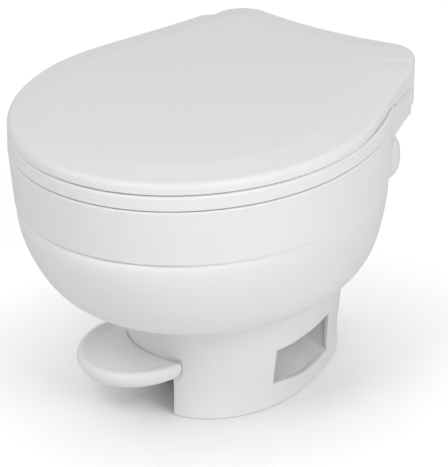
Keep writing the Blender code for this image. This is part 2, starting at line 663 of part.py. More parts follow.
def make_bowl():
    throat = circle_at(THROAT_RADIUS, y=OUTLET_Y)
    opening = opening_egg(0)
    depth = RIM_TOP_Z - OPENING_EDGE_RADIUS - THROAT_TOP_Z
    inside = [lift(mix(opening, throat, reach), THROAT_TOP_Z + depth * height)
              for reach, height in zip(BOWL_REACH_SHARES, BOWL_HEIGHT_SHARES)]
    outside = offset_rings(inside, WALL)
    flange = circle_at(CHAMBER_FLANGE_RADIUS, y=OUTLET_Y)
    flange_top_z = THROAT_BOTTOM_Z + THROAT_FLANGE_THICKNESS
    neck = lift(circle_at(THROAT_RADIUS + WALL, y=OUTLET_Y), flange_top_z)
    shoulder_z = BAND_BOTTOM_Z + SPIGOT_HEIGHT
    under_z = RIM_TOP_Z - WALL
    rings = [
        lift(band_foot_egg(0), BAND_BOTTOM_Z),
        lift(rim_egg(0), RIM_TOP_Z - RIM_EDGE_RADIUS),
        lift(rim_egg(RIM_EDGE_RADIUS), RIM_TOP_Z),
        lift(opening_egg(OPENING_EDGE_RADIUS), RIM_TOP_Z),
        *inside,
        lift(throat, THROAT_BOTTOM_Z),
        lift(flange, THROAT_BOTTOM_Z),
        lift(flange, flange_top_z),
        neck,
        *reversed(outside[1:-1]),
        lift(opening_egg(WALL), under_z - OPENING_EDGE_RADIUS),
        lift(opening_egg(OPENING_EDGE_RADIUS + WALL), under_z),
        lift(rim_egg(BAND_WALL + BAND_STEP), under_z),
        lift(band_foot_egg(BAND_WALL + BAND_STEP), shoulder_z),
        lift(band_foot_egg(BAND_WALL), shoulder_z),
        lift(band_foot_egg(BAND_WALL), BAND_BOTTOM_Z),
    ]
    bowl = loft("bowl", rings, WHITE, cyclic=True)
    recess = block("deck_seat", (-RIM_HALF_WIDTH, DECK_FRONT_Y - CLEARANCE, DECK_BOTTOM_Z - CLEARANCE),
                   (RIM_HALF_WIDTH, RIM_REAR_Y + CUT_OVERRUN, RIM_TOP_Z + CUT_OVERRUN))
    cut(bowl, recess)
    for side in (-1, 1):
        place = (side * DECK_SCREW_X, DECK_SCREW_Y)
        boss = rod("deck_boss", (*place, DECK_BOTTOM_Z - CLEARANCE - DECK_BOSS_DEPTH),
                   (*place, DECK_BOTTOM_Z - CLEARANCE), DECK_BOSS_RADIUS)
        hole = rod("deck_boss_hole", (*place, DECK_TOP_Z - DECK_SCREW_LENGTH - SCREW_HEAD),
                   (*place, DECK_TOP_Z), SCREW_RADIUS + CLEARANCE, sides=SMALL_SIDES)
        join(bowl, boss)
        cut(bowl, hole)
    nozzle = rod("nozzle_way", (0, OPENING_REAR_Y - CUT_OVERRUN, NOZZLE_Z),
                 (0, OPENING_REAR_Y + CUT_OVERRUN, NOZZLE_Z), NOZZLE_RADIUS + CLEARANCE)
    cut(bowl, nozzle)
    for x, y in valve_screw_places():
        cut(bowl, rod("bowl_screw_way", (x, y, THROAT_BOTTOM_Z - CUT_OVERRUN / 2),
                      (x, y, flange_top_z + CLEARANCE), SCREW_RADIUS + CLEARANCE, sides=SMALL_SIDES))
    return bowl


def valve_screw_places():
    places = []
    for i in range(VALVE_SCREW_COUNT):
        turn = MECHANISM_TURN + math.pi / 4 + 2 * math.pi * i / VALVE_SCREW_COUNT
        places.append((VALVE_SCREW_CIRCLE * math.cos(turn), OUTLET_Y + VALVE_SCREW_CIRCLE * math.sin(turn)))
    return places


# Seat

def bumper_places():
    """Two pairs of seat buffers, midway between the hole and the rim's edge"""
    rim, hole = rim_egg(0), egg(SEAT_HOLE_HALF_WIDTH, SEAT_HOLE_FRONT_Y, SEAT_HOLE_REAR_Y,
                                OPENING_WIDEST_Y)
    places = []
    for y in (BUMPER_FRONT_Y, BUMPER_REAR_Y):
        x = outline_x(rim, y) * BUMPER_RIM_SHARE + outline_x(hole, y) * (1 - BUMPER_RIM_SHARE)
        places += [(-x, y), (x, y)]
    return places


def seat_outline():
    """The rim's outline cut off straight in front of the hinge deck"""
    outline = rim_egg(0)
    corner_x = RIM_HALF_WIDTH * math.sqrt(1 - ((SEAT_REAR_Y - WIDEST_Y) / REAR_REACH) ** 2)
    beyond = [i for i, (x, y) in enumerate(outline) if y > SEAT_REAR_Y]
    for place, i in enumerate(beyond):
        outline[i] = (corner_x * (1 - 2 * place / (len(beyond) - 1)), SEAT_REAR_Y)
    return outline


def make_seat():
    outer = seat_outline()
    hole = egg(SEAT_HOLE_HALF_WIDTH, SEAT_HOLE_FRONT_Y, SEAT_HOLE_REAR_Y, OPENING_WIDEST_Y)
    inner_top_z = SEAT_TOP_Z - SEAT_INNER_DROP
    rings = [lift(outer, SEAT_BOTTOM_Z)]
    for i in range(4):
        turn = math.pi / 2 * i / 3
        rings.append(lift(towards(outer, hole, SEAT_EDGE_RADIUS * (1 - math.cos(turn))),
                          SEAT_TOP_Z - SEAT_EDGE_RADIUS * (1 - math.sin(turn))))
    rings.append(lift(mix(outer, hole, 0.5), SEAT_TOP_Z - SEAT_INNER_DROP / 4))
    for i in range(4):
        turn = math.pi / 2 * i / 3
        rings.append(lift(towards(hole, outer, SEAT_INNER_RADIUS * (1 - math.sin(turn))),
                          inner_top_z - SEAT_INNER_RADIUS * (1 - math.cos(turn))))
    under_z = inner_top_z - SEAT_WALL
    rings += [lift(hole, SEAT_BOTTOM_Z), lift(towards(hole, outer, SEAT_WALL), SEAT_BOTTOM_Z),
              lift(towards(hole, outer, SEAT_WALL), under_z - SEAT_INNER_RADIUS / 2),
              lift(towards(hole, outer, SEAT_INNER_RADIUS + SEAT_WALL / 2), under_z),
              lift(towards(outer, hole, SEAT_EDGE_RADIUS + SEAT_WALL / 2), under_z),
              lift(towards(outer, hole, SEAT_WALL), under_z - SEAT_EDGE_RADIUS / 2),
              lift(towards(outer, hole, SEAT_WALL), SEAT_BOTTOM_Z)]
    seat = loft("seat", rings, WHITE, cyclic=True)
    for side in (-1, 1):
        low_x = side * SEAT_ARM_X - SEAT_ARM_WIDTH / 2
        arm = seat_arm(low_x, low_x + SEAT_ARM_WIDTH)
        cut(arm, hinge_bore(side))
        join(seat, arm)
    for x, y in bumper_places():
        join(seat, bumper_block("bumper_boss", x, y, SEAT_BOTTOM_Z, under_z + SEAT_WALL / 2, SEAT_WALL))
        cut(seat, bumper_block("bumper_pocket", x, y, SEAT_BOTTOM_Z - CUT_OVERRUN / 2,
                               SEAT_BOTTOM_Z + BUMPER_POCKET, CLEARANCE))
    return seat


def seat_arm(low_x, high_x):
    """An arm that ends in its round eye"""
    root_y = (SEAT_HOLE_REAR_Y + SEAT_REAR_Y) / 2
    side_view = [(root_y, HINGE_Z - HINGE_RADIUS),
                 *arc(HINGE_Y, HINGE_Z, HINGE_RADIUS, -math.pi / 2, math.pi / 2, SMALL_SIDES),
                 (HINGE_Y, HINGE_Z + HINGE_RADIUS),
                 (root_y, HINGE_Z + HINGE_RADIUS)]
    return loft("seat_arm", [[(x, y, z) for y, z in side_view] for x in (low_x, high_x)], WHITE)


def bumper_block(name, x, y, bottom, top, grow=0.0, material=None):
    return block(name, (x - BUMPER_WIDTH / 2 - grow, y - BUMPER_LENGTH / 2 - grow, bottom),
                 (x + BUMPER_WIDTH / 2 + grow, y + BUMPER_LENGTH / 2 + grow, top), material)


def make_seat_bumpers():
    for number, (x, y) in enumerate(bumper_places(), 1):
        bumper_block(f"seat_bumper_{number}", x, y, RIM_TOP_Z + CLEARANCE,
                     SEAT_BOTTOM_Z + BUMPER_POCKET - CLEARANCE, 0.0, BLACK)


# Lid

def make_lid():
    outline = lid_outline()
    edge_z = LID_BOTTOM_Z + LID_SIDE_HEIGHT
    border_z = edge_z + LID_EDGE_RADIUS
    plateau_z = border_z + LID_BORDER_RISE
    middle_shares = (0.06, 0.6)
    plateau = shrink(outline, LID_BORDER_WIDTH + LID_PLATEAU_BLEND)
    rings = []
    for share in middle_shares:
        rings.append(lift([(x * share, y * share) for x, y in plateau],
                          plateau_z + LID_CROWN * (1 - share * share)))
    rings.append(lift(plateau, plateau_z))
    rings.append(lift(shrink(outline, LID_BORDER_WIDTH), plateau_z - LID_BORDER_RISE / 8))
    rings.append(lift(shrink(outline, LID_EDGE_RADIUS * 2), border_z + LID_BORDER_RISE / 4))
    for i in range(4):
        turn = math.pi / 2 * i / 3
        rings.append(lift(shrink(outline, LID_EDGE_RADIUS * (1 - math.sin(turn))),
                          edge_z + LID_EDGE_RADIUS * math.cos(turn)))
    inner = offset_rings(rings, -LID_WALL)
    inner = inner[:-1:2] + inner[-1:]
    rings.append(lift(outline, LID_BOTTOM_Z))
    rings.append(lift([(p.x, p.y) for p in inner[-1]], LID_BOTTOM_Z))
    rings += reversed(inner)
    lid = loft("lid", rings, WHITE)
    for side in (-1, 1):
        low_x, high_x = lid_knuckle_span(side)
        knuckle = rod("lid_knuckle", (low_x, HINGE_Y, HINGE_Z), (high_x, HINGE_Y, HINGE_Z), HINGE_RADIUS)
        web = block("lid_web", (low_x + CLEARANCE, HINGE_Y - HINGE_RADIUS + CLEARANCE, HINGE_Z),
                    (high_x - CLEARANCE, HINGE_Y, edge_z))
        join(lid, knuckle, web)
        cut(lid, hinge_bore(side))
    return lid


def make_lid_bumpers():
    """Two round buffers that stand under the lid's skin and stop it on the seat"""
    y = BUMPER_FRONT_Y
    x = BUMPER_RIM_SHARE * (outline_x(rim_egg(0), y) + SEAT_HOLE_HALF_WIDTH / 2)
    skin_z = LID_BOTTOM_Z + LID_SIDE_HEIGHT + LID_EDGE_RADIUS - LID_WALL
    for name, side in (("left", -1), ("right", 1)):
        rod(f"lid_bumper_{name}", (side * x, y, SEAT_TOP_Z + CLEARANCE), (side * x, y, skin_z),
            LID_BUMPER_RADIUS, BLACK, sides=SMALL_SIDES)


# Hinge deck

def hinge_bore(side):
    low, high = hinge_span(side)
    return rod("hinge_bore", (low - CUT_OVERRUN / 4, HINGE_Y, HINGE_Z), (high + CUT_OVERRUN / 4, HINGE_Y, HINGE_Z),
               HINGE_PIN_RADIUS + CLEARANCE, sides=SMALL_SIDES)


def lug_spans(side):
    """The two deck lugs that hold each seat eye between them"""
    half = SEAT_ARM_WIDTH / 2 + HINGE_SIDE_GAP
    centre = side * SEAT_ARM_X
    inner = sorted((centre - side * half, centre - side * (half + HINGE_LUG_WIDTH)))
    outer = sorted((centre + side * half, centre + side * (half + HINGE_LUG_WIDTH)))
    return inner, outer


def lid_knuckle_span(side):
    start = SEAT_ARM_X + SEAT_ARM_WIDTH / 2 + HINGE_LUG_WIDTH + HINGE_SIDE_GAP * 2
    return sorted((side * start, side * (start + LID_KNUCKLE_WIDTH)))


def hinge_span(side):
    ends = [*lug_spans(side)[0], *lid_knuckle_span(side)]
    return min(ends), max(ends)


def make_deck():
    outline = lid_outline()
    steps = 6
    last_y = DECK_REAR_Y - DECK_CORNER_RADIUS
    ear_y = LID_REAR_Y - LID_CORNER_RADIUS
    half = []
    for i in range(steps + 1):
        y = DECK_FRONT_Y + (last_y - DECK_FRONT_Y) * i / steps
        half.append((outline_x(outline, min(y, ear_y)) - DECK_INSET, y))
    corner_x = half[-1][0] - DECK_CORNER_RADIUS
    half += arc(corner_x, last_y, DECK_CORNER_RADIUS, 0, math.pi / 2, 4)[1:]
    half.append((corner_x, DECK_REAR_Y))
    shape = half + [(-x, y) for x, y in reversed(half)]
    deck = plate("hinge_deck", shape, DECK_BOTTOM_Z, DECK_TOP_Z, WHITE)
    middle_y = (DECK_FRONT_Y + DECK_REAR_Y) / 2
    narrow = 1 - DECK_WALL / LID_EAR_X
    short = 1 - DECK_WALL / (DECK_REAR_Y - middle_y)
    hollow = [(x * narrow, middle_y + (y - middle_y) * short) for x, y in shape]
    cut(deck, plate("deck_hollow", hollow, DECK_BOTTOM_Z - CUT_OVERRUN, DECK_TOP_Z - DECK_WALL))
    for side in (-1, 1):
        half_trough = SEAT_ARM_WIDTH / 2 + HINGE_SIDE_GAP + DECK_WALL
        trough = block("arm_trough", (side * SEAT_ARM_X - half_trough, DECK_FRONT_Y + CLEARANCE,
                                      HINGE_Z - HINGE_RADIUS - HINGE_SIDE_GAP - DECK_WALL),
                       (side * SEAT_ARM_X + half_trough, DECK_REAR_Y - CLEARANCE, DECK_TOP_Z - DECK_WALL / 2))
        post = rod("deck_post", (side * DECK_SCREW_X, DECK_SCREW_Y, DECK_BOTTOM_Z),
                   (side * DECK_SCREW_X, DECK_SCREW_Y, DECK_TOP_Z - DECK_WALL / 2), DECK_BOSS_RADIUS)
        join(deck, trough, post)
        for low_x, high_x in lug_spans(side):
            lug = block("hinge_lug", (low_x + CLEARANCE, DECK_REAR_Y - DECK_WALL, HINGE_Z - HINGE_RADIUS + CLEARANCE),
                        (high_x - CLEARANCE, HINGE_Y - HINGE_RADIUS / 3, HINGE_Z + HINGE_RADIUS - CLEARANCE))
            end = rod("hinge_lug_end", (low_x, HINGE_Y, HINGE_Z), (high_x, HINGE_Y, HINGE_Z), HINGE_RADIUS)
            join(deck, lug, end)
        half_way = SEAT_ARM_WIDTH / 2 + HINGE_SIDE_GAP
        channel = block("seat_arm_channel",
                        (side * SEAT_ARM_X - half_way, DECK_FRONT_Y - CUT_OVERRUN,
                         HINGE_Z - HINGE_RADIUS - HINGE_SIDE_GAP),
                        (side * SEAT_ARM_X + half_way, HINGE_Y + CUT_OVERRUN, DECK_TOP_Z + CUT_OVERRUN))
        place = (side * DECK_SCREW_X, DECK_SCREW_Y)
        hole = rod("deck_screw_way", (*place, DECK_BOTTOM_Z - CUT_OVERRUN), (*place, DECK_TOP_Z + CUT_OVERRUN),
                   SCREW_RADIUS + CLEARANCE, sides=SMALL_SIDES)
        sink = rod("deck_screw_sink", (*place, DECK_TOP_Z - SCREW_HEAD - CLEARANCE),
                   (*place, DECK_TOP_Z + CUT_OVERRUN), SCREW_HEAD_RADIUS + CLEARANCE, sides=SMALL_SIDES)
        cut(deck, channel, hinge_bore(side), hole, sink)
    return deck


def screw_profile(length):
    """A pan-headed screw, its head's top at height zero and its shank downwards"""
    return [(0, 0), (SCREW_HEAD_RADIUS * 0.8, 0), (SCREW_HEAD_RADIUS, -SCREW_HEAD / 2),
            (SCREW_HEAD_RADIUS, -SCREW_HEAD), (SCREW_RADIUS, -SCREW_HEAD), (SCREW_RADIUS, -length),
            (0, -length)]


def make_screw(name, place, length, flip=False, parent=None):
    rings = [lift(circle_at(max(radius, CLEARANCE), count=SMALL_SIDES), height)
             for radius, height in screw_profile(length)]
    screw = loft(name, rings, STEEL, parent)
    screw.location = place
    if flip:
        screw.rotation_euler.x = math.pi
    return screw


def make_hinge_hardware():
    for name, side in (("left", -1), ("right", 1)):
        low, high = hinge_span(side)
        near, far = (low, high) if side > 0 else (high, low)
        pin = rod(f"hinge_pin_{name}", (near - side * HINGE_SIDE_GAP, HINGE_Y, HINGE_Z),
                  (far, HINGE_Y, HINGE_Z), HINGE_PIN_RADIUS, STEEL, sides=SMALL_SIDES)
        start = near - side * HINGE_SIDE_GAP
        head = rod("pin_head", (start - side * HINGE_PIN_HEAD, HINGE_Y, HINGE_Z), (start, HINGE_Y, HINGE_Z),
                   HINGE_PIN_HEAD_RADIUS, sides=SMALL_SIDES)
        join(pin, head)
        make_screw(f"deck_screw_{name}", (side * DECK_SCREW_X, DECK_SCREW_Y, DECK_TOP_Z), DECK_SCREW_LENGTH)


# Flush mechanism, made about the outlet and turned towards the pedal

def make_mechanism_frame():
    frame = bpy.data.objects.new("mechanism_frame", None)
    PARTS.objects.link(frame)
    frame.location = (0, OUTLET_Y, 0)
    frame.rotation_euler.z = MECHANISM_TURN
    return frame


def make_axis(name, frame, y, z):
    axis = bpy.data.objects.new(name, None)
    PARTS.objects.link(axis)
    axis.parent = frame
    axis.location = (0, y, z)
    return axis


def pedal_outline(inset=0.0):
    """Most of a disc, its rear edge an arc that follows the pedestal, its two corners rounded"""
    arc_centre = -PEDAL_INNER_REACH + PEDAL_INNER_ARC_RADIUS
    inner_radius = PEDAL_INNER_ARC_RADIUS + inset
    outer_radius = PEDAL_RADIUS - inset
    gap = arc_centre + PEDAL_CENTRE_REACH
    meet = (gap * gap + inner_radius ** 2 - outer_radius ** 2) / (2 * gap)
    meet_x = math.sqrt(inner_radius ** 2 - meet ** 2)
    meet_y = arc_centre - meet
    run = max(PEDAL_CORNER_RUN - inset, PEDAL_CORNER_RUN / 3)
    outer_from = math.atan2(meet_y + PEDAL_CENTRE_REACH, meet_x) - run / outer_radius
    inner_from = math.atan2(meet_x, meet) - run / inner_radius
    outline = []
    for i in range(PEDAL_STATIONS + 1):
        turn = math.pi - outer_from + (math.pi + 2 * outer_from) * i / PEDAL_STATIONS
        outline.append((outer_radius * math.cos(turn), -PEDAL_CENTRE_REACH + outer_radius * math.sin(turn)))
    rear_count = PEDAL_STATIONS // 2
    rear = []
    for i in range(rear_count + 1):
        turn = inner_from - 2 * inner_from * i / rear_count
        rear.append((inner_radius * math.sin(turn), arc_centre - inner_radius * math.cos(turn)))
    right = corner(outline[-1], (meet_x, meet_y), rear[0])
    left = corner(rear[-1], (-meet_x, meet_y), outline[0])
    return outline + right + rear + left


def corner(start, tip, end):
    """Points that round off a corner, without its two ends"""
    steps = 5
    points = []
    for i in range(1, steps):
        t = i / steps
        points.append(tuple((1 - t) ** 2 * a + 2 * t * (1 - t) * b + t * t * c for a, b, c in zip(start, tip, end)))
    return points


def pedal_height(y):
    """The tread slopes down towards the toe"""
    share = (-PEDAL_INNER_REACH - y) / (PEDAL_CENTRE_REACH + PEDAL_RADIUS - PEDAL_INNER_REACH)
    return PEDAL_TOP_Z - PEDAL_FRONT_DROP * max(share, 0)


def make_pedal(frame, axis):
    """A dished tread with a rolled lip, carried by two arms"""
    def ring(inset, drop):
        return [Vector((x, y + PEDAL_PIVOT_REACH, pedal_height(y) - drop - PEDAL_PIVOT_Z))
                for x, y in pedal_outline(inset)]
    lip = PEDAL_LIP_RADIUS
    under = PEDAL_THICKNESS
    rings = [ring(lip * 5, PEDAL_DISH), ring(lip * 3, PEDAL_DISH * 0.8), ring(lip * 1.6, PEDAL_DISH * 0.2),
             ring(lip, 0), ring(lip * 0.3, lip * 0.3), ring(0, lip), ring(lip * 0.2, under * 0.55),
             ring(lip, under * 0.85), ring(lip * 2.4, under), ring(lip * 5, under)]
    pedal = loft("pedal", rings, WHITE, axis)
    for side in (-1, 1):
        low_x = side * PEDAL_ARM_X - PEDAL_ARM_WIDTH / 2
        high_x = low_x + PEDAL_ARM_WIDTH
        arm = block("pedal_arm", (low_x + CLEARANCE, PEDAL_PIVOT_REACH - PEDAL_INNER_REACH - PEDAL_LIP_RADIUS * 3,
                                  -PEDAL_ARM_HEIGHT / 2),
                    (high_x - CLEARANCE, 0, PEDAL_ARM_HEIGHT / 2), None, axis)
        eye = rod("pedal_eye", (low_x, 0, 0), (high_x, 0, 0), PEDAL_EYE_RADIUS, None, axis)
        join(pedal, arm, eye)
    bar_y = -PEDAL_BAR_REACH
    join(pedal, block("pedal_bar", (-PEDAL_ARM_X, bar_y - PEDAL_BAR_THICKNESS, CLEARANCE - SPRING_RADIUS + SPRING_WIRE_RADIUS),
                      (PEDAL_ARM_X, bar_y, PEDAL_ARM_HEIGHT / 2 - CLEARANCE), None, axis))
    cut(pedal, rod("pedal_bore", (-PEDAL_ARM_X * 2, 0, 0), (PEDAL_ARM_X * 2, 0, 0),
                   PEDAL_SHAFT_RADIUS + CLEARANCE, None, axis))
    return pedal


def tooth_outline(teeth, centre_angle, shown, first):
    """Points round the rim of a gear with straight-flanked teeth, one tooth centred at an angle"""
    pitch = GEAR_MODULE * teeth / 2
    tip, root = pitch + GEAR_MODULE, pitch - GEAR_MODULE * TOOTH_ROOT_SHARE
    step = 2 * math.pi / teeth
    slack = GEAR_BACKLASH / pitch / 2
    points = []
    for i in range(shown):
        middle = centre_angle + (first + i) * step
        for radius, share in ((root, -0.41), (pitch, -0.25), (tip, -0.12), (tip, 0.12), (pitch, 0.25), (root, 0.41)):
            shift = math.copysign(slack, share)
            points.append((radius * math.cos(middle + share * step - shift),
                           radius * math.sin(middle + share * step - shift)))
    return points


def side_on(item, x):
    """A flat piece drawn in X and Y stood up so that its X runs to the rear and its Y upwards"""
    item.rotation_euler = (math.pi / 2, 0, math.pi / 2)
    item.location.x = x


def make_gears(pedal_axis, valve_axis):
    low, high = -GEAR_WIDTH / 2, GEAR_WIDTH / 2
    shaft_hole = circle_at(PEDAL_SHAFT_RADIUS + CLEARANCE, count=ROUND_SIDES)
    sector_step = 2 * math.pi / SECTOR_TEETH
    first = -(SECTOR_SHOWN_TEETH - SECTOR_LEAD_TEETH)
    teeth = tooth_outline(SECTOR_TEETH, GEAR_LINE_ANGLE, SECTOR_SHOWN_TEETH, first)
    start = GEAR_LINE_ANGLE + first * sector_step
    end = start + (SECTOR_SHOWN_TEETH - 1) * sector_step
    hub = arc(0, 0, GEAR_HUB_RADIUS, end + math.pi / 2, start + 1.5 * math.pi, 14)
    sector = plate("sector_gear", teeth + hub, low, high, GREY, pedal_axis, holes=(shaft_hole,))
    side_on(sector, GEAR_X)
    back = GEAR_LINE_ANGLE + math.pi
    pinion_teeth = tooth_outline(PINION_TEETH, back, PINION_TEETH, 0)
    pinion = plate("valve_pinion", pinion_teeth, low, high, GREY, valve_axis,
                   holes=(circle_at(VALVE_SHAFT_RADIUS + CLEARANCE, count=ROUND_SIDES),))
    side_on(pinion, GEAR_X)


def make_shafts(pedal_axis, valve_axis):
    end_x = GEAR_X + GEAR_WIDTH
    clip_x = BRACKET_X + BRACKET_WIDTH / 2 + BUSH_FLANGE + CLEARANCE * 2
    left_x = clip_x + CIRCLIP_THICKNESS * 2
    rod("pedal_shaft", (-left_x, 0, 0), (end_x, 0, 0), PEDAL_SHAFT_RADIUS, STEEL, pedal_axis)
    clip = rod("shaft_circlip", (-clip_x - CIRCLIP_THICKNESS, 0, 0), (-clip_x, 0, 0), CIRCLIP_RADIUS, STEEL, pedal_axis)
    cut(clip, rod("circlip_bore", (-left_x * 2, 0, 0), (0, 0, 0), PEDAL_SHAFT_RADIUS + CLEARANCE, None, pedal_axis))
    cheek_x = (BALL_RADIUS - BALL_WALL) * math.sin(BALL_HALF_ANGLE) - BALL_WALL
    rod("valve_shaft", (cheek_x, 0, 0), (end_x, 0, 0), VALVE_SHAFT_RADIUS, STEEL, valve_axis, SMALL_SIDES)
    rod("valve_pivot_pin", (-CHAMBER_RADIUS - CHAMBER_WALL - SHAFT_BOSS_LENGTH, 0, 0), (-cheek_x, 0, 0),
        VALVE_SHAFT_RADIUS, STEEL, valve_axis, SMALL_SIDES)


def make_ball(valve_axis):
    """A hollow half ball whose cheeks ride on the valve shaft"""
    sides, steps = STATIONS // 2, 4
    outer, inner = [], []
    inner_radius = BALL_RADIUS - BALL_WALL
    for k in range(steps + 1):
        polar = BALL_HALF_ANGLE * (k + 0.15) / (steps + 0.15)
        outer.append(lift(circle_at(BALL_RADIUS * math.sin(polar), count=sides), BALL_RADIUS * math.cos(polar)))
        inner.append(lift(circle_at(inner_radius * math.sin(polar), count=sides), inner_radius * math.cos(polar)))
    ball = loft("waste_ball", outer + list(reversed(inner)), INNER_WHITE, valve_axis)
    cheek_x = inner_radius * math.sin(BALL_HALF_ANGLE) - BALL_WALL
    rim_z = inner_radius * math.cos(BALL_HALF_ANGLE)
    for side in (-1, 1):
        low_x, high_x = sorted((side * cheek_x, side * (cheek_x + BALL_WALL)))
        cheek = block("ball_cheek", (low_x, -BALL_CHEEK_HALF_WIDTH, 0), (high_x, BALL_CHEEK_HALF_WIDTH, rim_z + BALL_WALL * 0.8),
                      None, valve_axis)
        eye = rod("ball_eye", (low_x - CLEARANCE, 0, 0), (high_x + CLEARANCE, 0, 0), SHAFT_BOSS_RADIUS, None, valve_axis)
        join(ball, cheek, eye)
    cut(ball, rod("ball_bore", (-BALL_RADIUS, 0, 0), (BALL_RADIUS, 0, 0), VALVE_SHAFT_RADIUS + CLEARANCE, None,
                  valve_axis))
    return ball


def make_valve_body(frame):
    top = THROAT_BOTTOM_Z - CLEARANCE
    outer = CHAMBER_RADIUS + CHAMBER_WALL
    tube = OUTLET_RADIUS + OUTLET_WALL
    profile = [(CHAMBER_FLANGE_RADIUS, top), (CHAMBER_FLANGE_RADIUS, top - CHAMBER_FLANGE_THICKNESS),
               (outer, top - CHAMBER_FLANGE_THICKNESS), (outer, CHAMBER_FLOOR_Z),
               (tube, CHAMBER_FLOOR_Z - CHAMBER_TAPER), (tube, OUTLET_BOTTOM_Z),
               (OUTLET_RADIUS, OUTLET_BOTTOM_Z), (OUTLET_RADIUS, CHAMBER_FLOOR_Z - CHAMBER_TAPER + OUTLET_WALL / 2),
               (CHAMBER_RADIUS, CHAMBER_FLOOR_Z + OUTLET_WALL / 2), (CHAMBER_RADIUS, top)]
    body = turned("valve_body", profile, INNER_WHITE, frame)
    boss_end = CHAMBER_RADIUS + CHAMBER_WALL + SHAFT_BOSS_LENGTH / 2
    for side in (-1, 1):
        boss = rod("valve_boss", (side * (CHAMBER_RADIUS + CHAMBER_WALL / 2), 0, BALL_Z), (side * boss_end, 0, BALL_Z),
                   SHAFT_BOSS_RADIUS, None, frame)
        low_x = side * BRACKET_X - BRACKET_WIDTH / 2
        arm = block("shaft_bracket", (low_x, -PEDAL_PIVOT_REACH, PEDAL_PIVOT_Z - BRACKET_HEIGHT / 2),
                    (low_x + BRACKET_WIDTH, -BRACKET_ROOT_REACH, PEDAL_PIVOT_Z + BRACKET_HEIGHT / 2), None, frame)
        end = rod("bracket_end", (low_x - CLEARANCE, -PEDAL_PIVOT_REACH, PEDAL_PIVOT_Z),
                  (low_x + BRACKET_WIDTH + CLEARANCE, -PEDAL_PIVOT_REACH, PEDAL_PIVOT_Z), BRACKET_HEIGHT / 2 - CLEARANCE,
                  None, frame)
        join(body, boss, arm, end)
    stop_z = PEDAL_PIVOT_Z - SPRING_RADIUS + SPRING_WIRE_RADIUS + CLEARANCE
    join(body, block("spring_stop", (-SPRING_STOP_HALF_WIDTH, -tube - SPRING_STOP_LENGTH, stop_z),
                     (SPRING_STOP_HALF_WIDTH, CLEARANCE - OUTLET_RADIUS - OUTLET_WALL, stop_z + SPRING_STOP_HEIGHT), None, frame))
    valve_bore = rod("valve_shaft_bore", (-GEAR_X * 2, 0, BALL_Z), (GEAR_X * 2, 0, BALL_Z),
                     VALVE_SHAFT_RADIUS + CLEARANCE, None, frame)
    pedal_bore = rod("pedal_shaft_bore", (-GEAR_X * 2, -PEDAL_PIVOT_REACH, PEDAL_PIVOT_Z),
                     (GEAR_X * 2, -PEDAL_PIVOT_REACH, PEDAL_PIVOT_Z),
                     PEDAL_SHAFT_RADIUS + 2 * CLEARANCE + BUSH_WALL, None, frame)
    cut(body, valve_bore, pedal_bore)
    for i in range(VALVE_SCREW_COUNT):
        turn = math.pi / 4 + 2 * math.pi * i / VALVE_SCREW_COUNT
        x, y = VALVE_SCREW_CIRCLE * math.cos(turn), VALVE_SCREW_CIRCLE * math.sin(turn)
        cut(body, rod("flange_screw_way", (x, y, top - CUT_OVERRUN / 2), (x, y, top + CUT_OVERRUN / 2),
                      SCREW_RADIUS + CLEARANCE, None, frame, SMALL_SIDES))
        under = top - CHAMBER_FLANGE_THICKNESS - SCREW_HEAD - CLEARANCE
        make_screw(f"valve_screw_{i + 1}", (x, y, under), VALVE_SCREW_LENGTH, True, frame)
    return body


def make_bushes(frame):
    """Flanged bushes for the pedal shaft, one in each bracket"""
    inner = PEDAL_SHAFT_RADIUS + CLEARANCE
    outer = inner + BUSH_WALL
    half = BRACKET_WIDTH / 2 + CLEARANCE
    for name, side in (("left", -1), ("right", 1)):
        profile = [(BUSH_FLANGE_RADIUS, half + CLEARANCE + BUSH_FLANGE), (BUSH_FLANGE_RADIUS, half + CLEARANCE),
                   (outer, half + CLEARANCE), (outer, -half), (inner, -half),
                   (inner, half + CLEARANCE + BUSH_FLANGE)]
        bush = turned(f"shaft_bush_{name}", profile, GREY, frame, ROUND_SIDES)
        bush.location = (side * BRACKET_X, -PEDAL_PIVOT_REACH, PEDAL_PIVOT_Z)
        bush.rotation_euler.y = side * math.pi / 2


def make_seals(frame):
    top = THROAT_BOTTOM_Z - CLEARANCE
    reach = BALL_RADIUS + SEAL_GAP
    profile = [(SEAL_OUTER_RADIUS, top), (SEAL_OUTER_RADIUS, top - SEAL_SKIRT_HEIGHT),
               (SEAL_LIP_RADIUS, BALL_Z + math.sqrt(reach ** 2 - SEAL_LIP_RADIUS ** 2)),
               (SEAL_INNER_RADIUS, BALL_Z + math.sqrt(reach ** 2 - SEAL_INNER_RADIUS ** 2)), (SEAL_INNER_RADIUS, top)]
    turned("bowl_seal", profile, BLACK, frame)
    inner = OUTLET_RADIUS + OUTLET_WALL + CLEARANCE
    low, high = FLOOR_SEAL_BOTTOM_Z, FLOOR_SEAL_BOTTOM_Z + FLOOR_SEAL_HEIGHT
    turned("floor_seal", [(inner + FLOOR_SEAL_WIDTH, high), (inner + FLOOR_SEAL_WIDTH, low), (inner, low),
                          (inner, high)], BLACK, frame)


